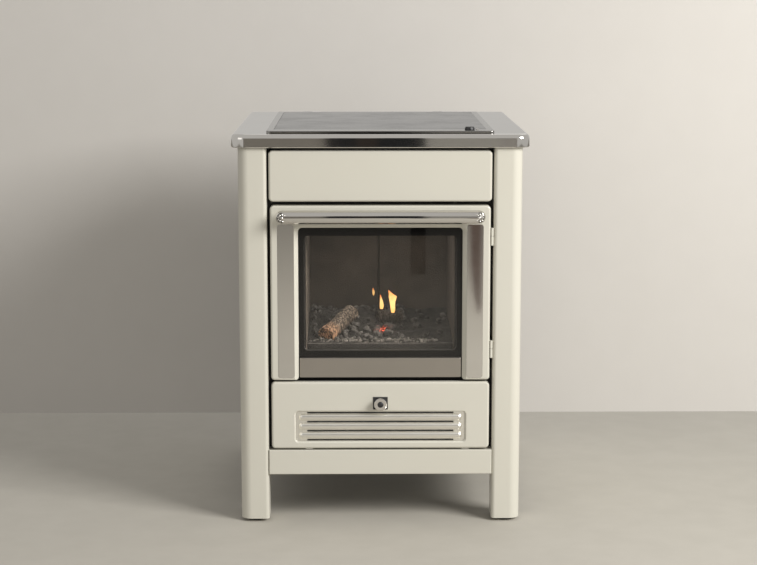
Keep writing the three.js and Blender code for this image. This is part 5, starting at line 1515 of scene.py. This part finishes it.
@dataclass
class AshDrawer(Assembly):
    """The drawer with its louvre, air knob, shutter and ash box."""

    tab_right: float = 174 * MM
    tab_left: float = -146 * MM
    tab_width: float = 15 * MM
    tab_depth: tuple[float, float] = (5 * MM, 12 * MM)
    tab_drop: float = 2.2 * MM
    tab_seat: float = 0.2 * MM
    tab_edge: float = 0.5 * MM
    plate_edge: float = 0.3 * MM
    cap_sink: float = 1.5 * MM

    def build(self) -> None:
        """The front with its louvre and knob, and the box behind it."""
        bright = Metal("louvre_steel", (0.95, 0.93, 0.87), (0.92, 0.90, 0.84), (0.30, 0.36))
        self.shop.carry("drawer_front")
        self.shop.carry("louvre_grille", smooth=40, material=bright.build(self.shop.effects))
        self.shop.dress("ash_box", "drawer_runner_right", "drawer_runner_left", "air_shutter")
        self.shop.carry("knob_plate", self.plate_edge)
        self.shop.carry("air_knob", smooth=30)
        self.knob_cap()
        self.tabs()

    def knob_cap(self) -> None:
        """The black domed button in the middle of the air knob."""
        front = span("air_knob")[0].y + self.cap_sink
        first, last = span("knob_plate")
        centre = (first + last) / 2
        rings = [(0, -2.2), (2.0, -2.1), (4.0, -1.6), (5.6, -0.9), (6.2, -0.2), (6.2, 0.0), (0, 0.0)]
        profile = [(out * MM, lift * MM) for out, lift in rings]
        cap = turned(profile, Axis.Y, (centre.x, front, centre.z), 40)
        self.shop.add(cap, "air_knob_cap", Body.AIR_CONTROL, Slot.PLASTIC, smooth=60)

    def tabs(self) -> None:
        """Two small bright tabs under the drawer front's lower edge."""
        corner = span("drawer_front")[0]
        half = self.tab_width / 2
        front, back = (corner.y + depth for depth in self.tab_depth)
        bottom, top = corner.z - self.tab_drop, corner.z + self.tab_seat
        for side, x in (("right", self.tab_right), ("left", self.tab_left)):
            tab = box((x - half, front, bottom), (x + half, back, top), self.tab_edge, 3)
            self.shop.add(tab, f"drawer_tab_{side}", Body.DRAWER, Slot.POLISHED)


@dataclass
class Studio(Assembly):
    """Floor, wall, lamps and the camera at the photograph's angle."""

    wall_y: float = 0.657
    wall_top: float = 4.0
    wall_foot: float = -0.01
    reach: float = 9.0
    card_y: float = -2.34

    def build(self) -> None:
        """The floor and wall, the cards that metal mirrors, the lamps, the world and the camera."""
        floor = StageColour("pale_floor", (0.50, 0.472, 0.415), (0.46, 0.433, 0.378))
        wall = StageColour("pale_wall", (0.61, 0.585, 0.55), (0.595, 0.57, 0.535), True)
        half = self.reach
        self.sheet("floor", [(-half, -half, 0), (half, -half, 0), (half, half, 0), (-half, half, 0)], floor)
        foot, top = self.wall_foot, self.wall_top
        upright = [(-half, foot), (half, foot), (half, top), (-half, top)]
        backdrop = self.sheet("wall", [(x, self.wall_y, z) for x, z in upright], wall)
        backdrop.visible_shadow = False
        backdrop.visible_diffuse = False
        backdrop.visible_glossy = False
        self.cards()
        self.lamps()
        self.world()
        self.camera()

    def sheet(self, name: str, corners: Sequence[Point], finish: Finish) -> bpy.types.Object:
        """A flat sheet of the studio.

        Args:
            name: Its name.
            corners: Its corners, in order.
            finish: Its finish.

        Returns:
            The sheet.
        """
        shape = bmesh.new()
        shape.faces.new([shape.verts.new(corner) for corner in corners])
        mesh = bpy.data.meshes.new(name)
        shape.to_mesh(mesh)
        shape.free()
        mesh.materials.append(finish.build(self.shop.effects))
        sheet = bpy.data.objects.new(name, mesh)
        bpy.context.scene.collection.objects.link(sheet)
        sheet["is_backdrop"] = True
        return sheet

    def cards(self) -> None:
        """Upright cards before the stove, each by its left, right, bottom and top edge, and a tapered one."""
        strips = [
            ("slate", -0.150, -0.052, 0.45, 1.75, (0.010, 0.010, 0.013)),
            ("umber", -0.052, 0.012, 0.45, 1.70, (0.035, 0.026, 0.021)),
            ("ink", 0.012, 0.165, 0.45, 1.80, (0.004, 0.005, 0.008)),
            ("ink_low", 0.118, 0.165, 0.20, 0.45, (0.020, 0.021, 0.026)),
            ("grey_left", -0.47, -0.150, 0.45, 1.55, (0.36, 0.34, 0.31)),
            ("grey_far_left", -0.60, -0.47, 0.45, 1.60, (0.20, 0.19, 0.18)),
            ("grey_right", 0.165, 0.40, 0.45, 1.55, (0.50, 0.49, 0.465)),
            ("grey_far_right", 0.40, 0.60, 0.45, 1.60, (0.46, 0.44, 0.425)),
        ]
        for name, left, right, bottom, top, colour in strips:
            self.card(name, [(right, bottom), (left, bottom), (left, top), (right, top)], colour, colour)
        tapered = [(0.340, 0.50), (0.292, 0.50), (0.296, 0.24), (0.308, 0.15), (0.327, 0.07), (0.340, 0.10)]
        self.card("brown", tapered, (0.15, 0.085, 0.068), (0.11, 0.062, 0.05))

    def card(self, name: str, outline: Sequence[tuple[float, float]], colour: Colour, shade: Colour) -> None:
        """A card that the stove's bright metal mirrors, and that nothing else sees.

        Args:
            name: Its name.
            outline: x and height of its corners.
            colour: Its colour.
            shade: Its second colour.
        """
        name = "card_" + name
        corners = [(x, self.card_y, z) for x, z in outline]
        card = self.sheet(name, corners, StageColour(name, colour, shade))
        card.visible_camera = False
        card.visible_shadow = False
        card.visible_diffuse = False
        card.visible_transmission = False

    @staticmethod
    def lamp(
        name: str, at: Point, size: float, power: float, colour: Colour, target: Point | None = None
    ) -> None:
        """A square soft lamp.

        Args:
            name: Its name.
            at: Where it stands.
            size: Its side, in metres.
            power: Its power, in watts.
            colour: Its colour.
            target: What it points at, or None for straight down.
        """
        data = bpy.data.lights.new(name, "AREA")
        data.size = size
        data.energy = power
        data.color = colour
        lamp = bpy.data.objects.new(name, data)
        lamp.location = at
        if target:
            lamp.rotation_euler = (Vector(target) - Vector(at)).to_track_quat("-Z", "Y").to_euler()
        bpy.context.scene.collection.objects.link(lamp)

    def lamps(self) -> None:
        """The key lamp at the right, a weak fill, one behind, and a small lamp inside the firebox."""
        self.lamp("key", (2.7, -2.3, 2.2), 1.6, 156.0, (1.0, 0.99, 0.97), (0, 0, 0.5))
        self.lamp("fill", (-2.6, -3.0, 1.8), 2.2, 12.0, (1.0, 0.97, 0.93), (0, 0, 0.4))
        self.lamp("behind", (0.5, 3.0, 2.6), 2.0, 8.0, (1.0, 0.98, 0.96), (0, 0, 0.5))
        self.lamp("firelight", (0.0, -0.20, 0.63), 0.2, 0.30, (1.0, 0.93, 0.86))

    @staticmethod
    def world() -> None:
        """A pale room for eyes and mirrors, and a soft even light for the rest."""
        world = bpy.data.worlds.new("room")
        bpy.context.scene.world = world
        world.use_nodes = True
        graph = Graph(world.node_tree)
        paths = graph.node("ShaderNodeLightPath").outputs
        seen = graph.math("MAXIMUM", paths["Is Camera Ray"], paths["Is Glossy Ray"])
        seen = graph.math("MAXIMUM", seen, paths["Is Transmission Ray"])
        room = graph.node("ShaderNodeBackground", {"Color": (0.53, 0.515, 0.49), "Strength": 1.0})
        light = graph.node("ShaderNodeBackground", {"Color": (1.0, 0.985, 0.965), "Strength": 0.43})
        graph.surface(seen, light.outputs[0], room.outputs[0], "World Output")

    @staticmethod
    def camera() -> None:
        """The camera, fitted to the photograph's edges."""
        data = bpy.data.cameras.new("camera")
        data.sensor_width = 36.0
        data.lens = 87.5
        camera = bpy.data.objects.new("camera", data)
        camera.location = (-0.043, -4.007, 1.0905)
        camera.rotation_euler = (math.radians(80.87), 0.0, math.radians(-0.61))
        bpy.context.scene.collection.objects.link(camera)
        bpy.context.scene.camera = camera
        bpy.context.scene.view_settings.view_transform = "Standard"


def corners() -> list[list[float]]:
    """The shown object's lowest and highest corner, as plain lists."""
    return [[float(part) for part in corner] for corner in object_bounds()]


def main() -> None:
    """Builds the stove's pieces in order, then the studio."""
    logging.basicConfig(level=logging.INFO, format="%(name)s: %(message)s")
    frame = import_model()
    shop = Workshop(frame)
    for part in (Carcass, Top, FireDoor, Firebox, Fire, AshDrawer, Studio):
        part(shop).build()
        LOG.info("%s done", part.__name__)
    LOG.info("%d pieces", shop.count)


if __name__ == "__main__":
    main()
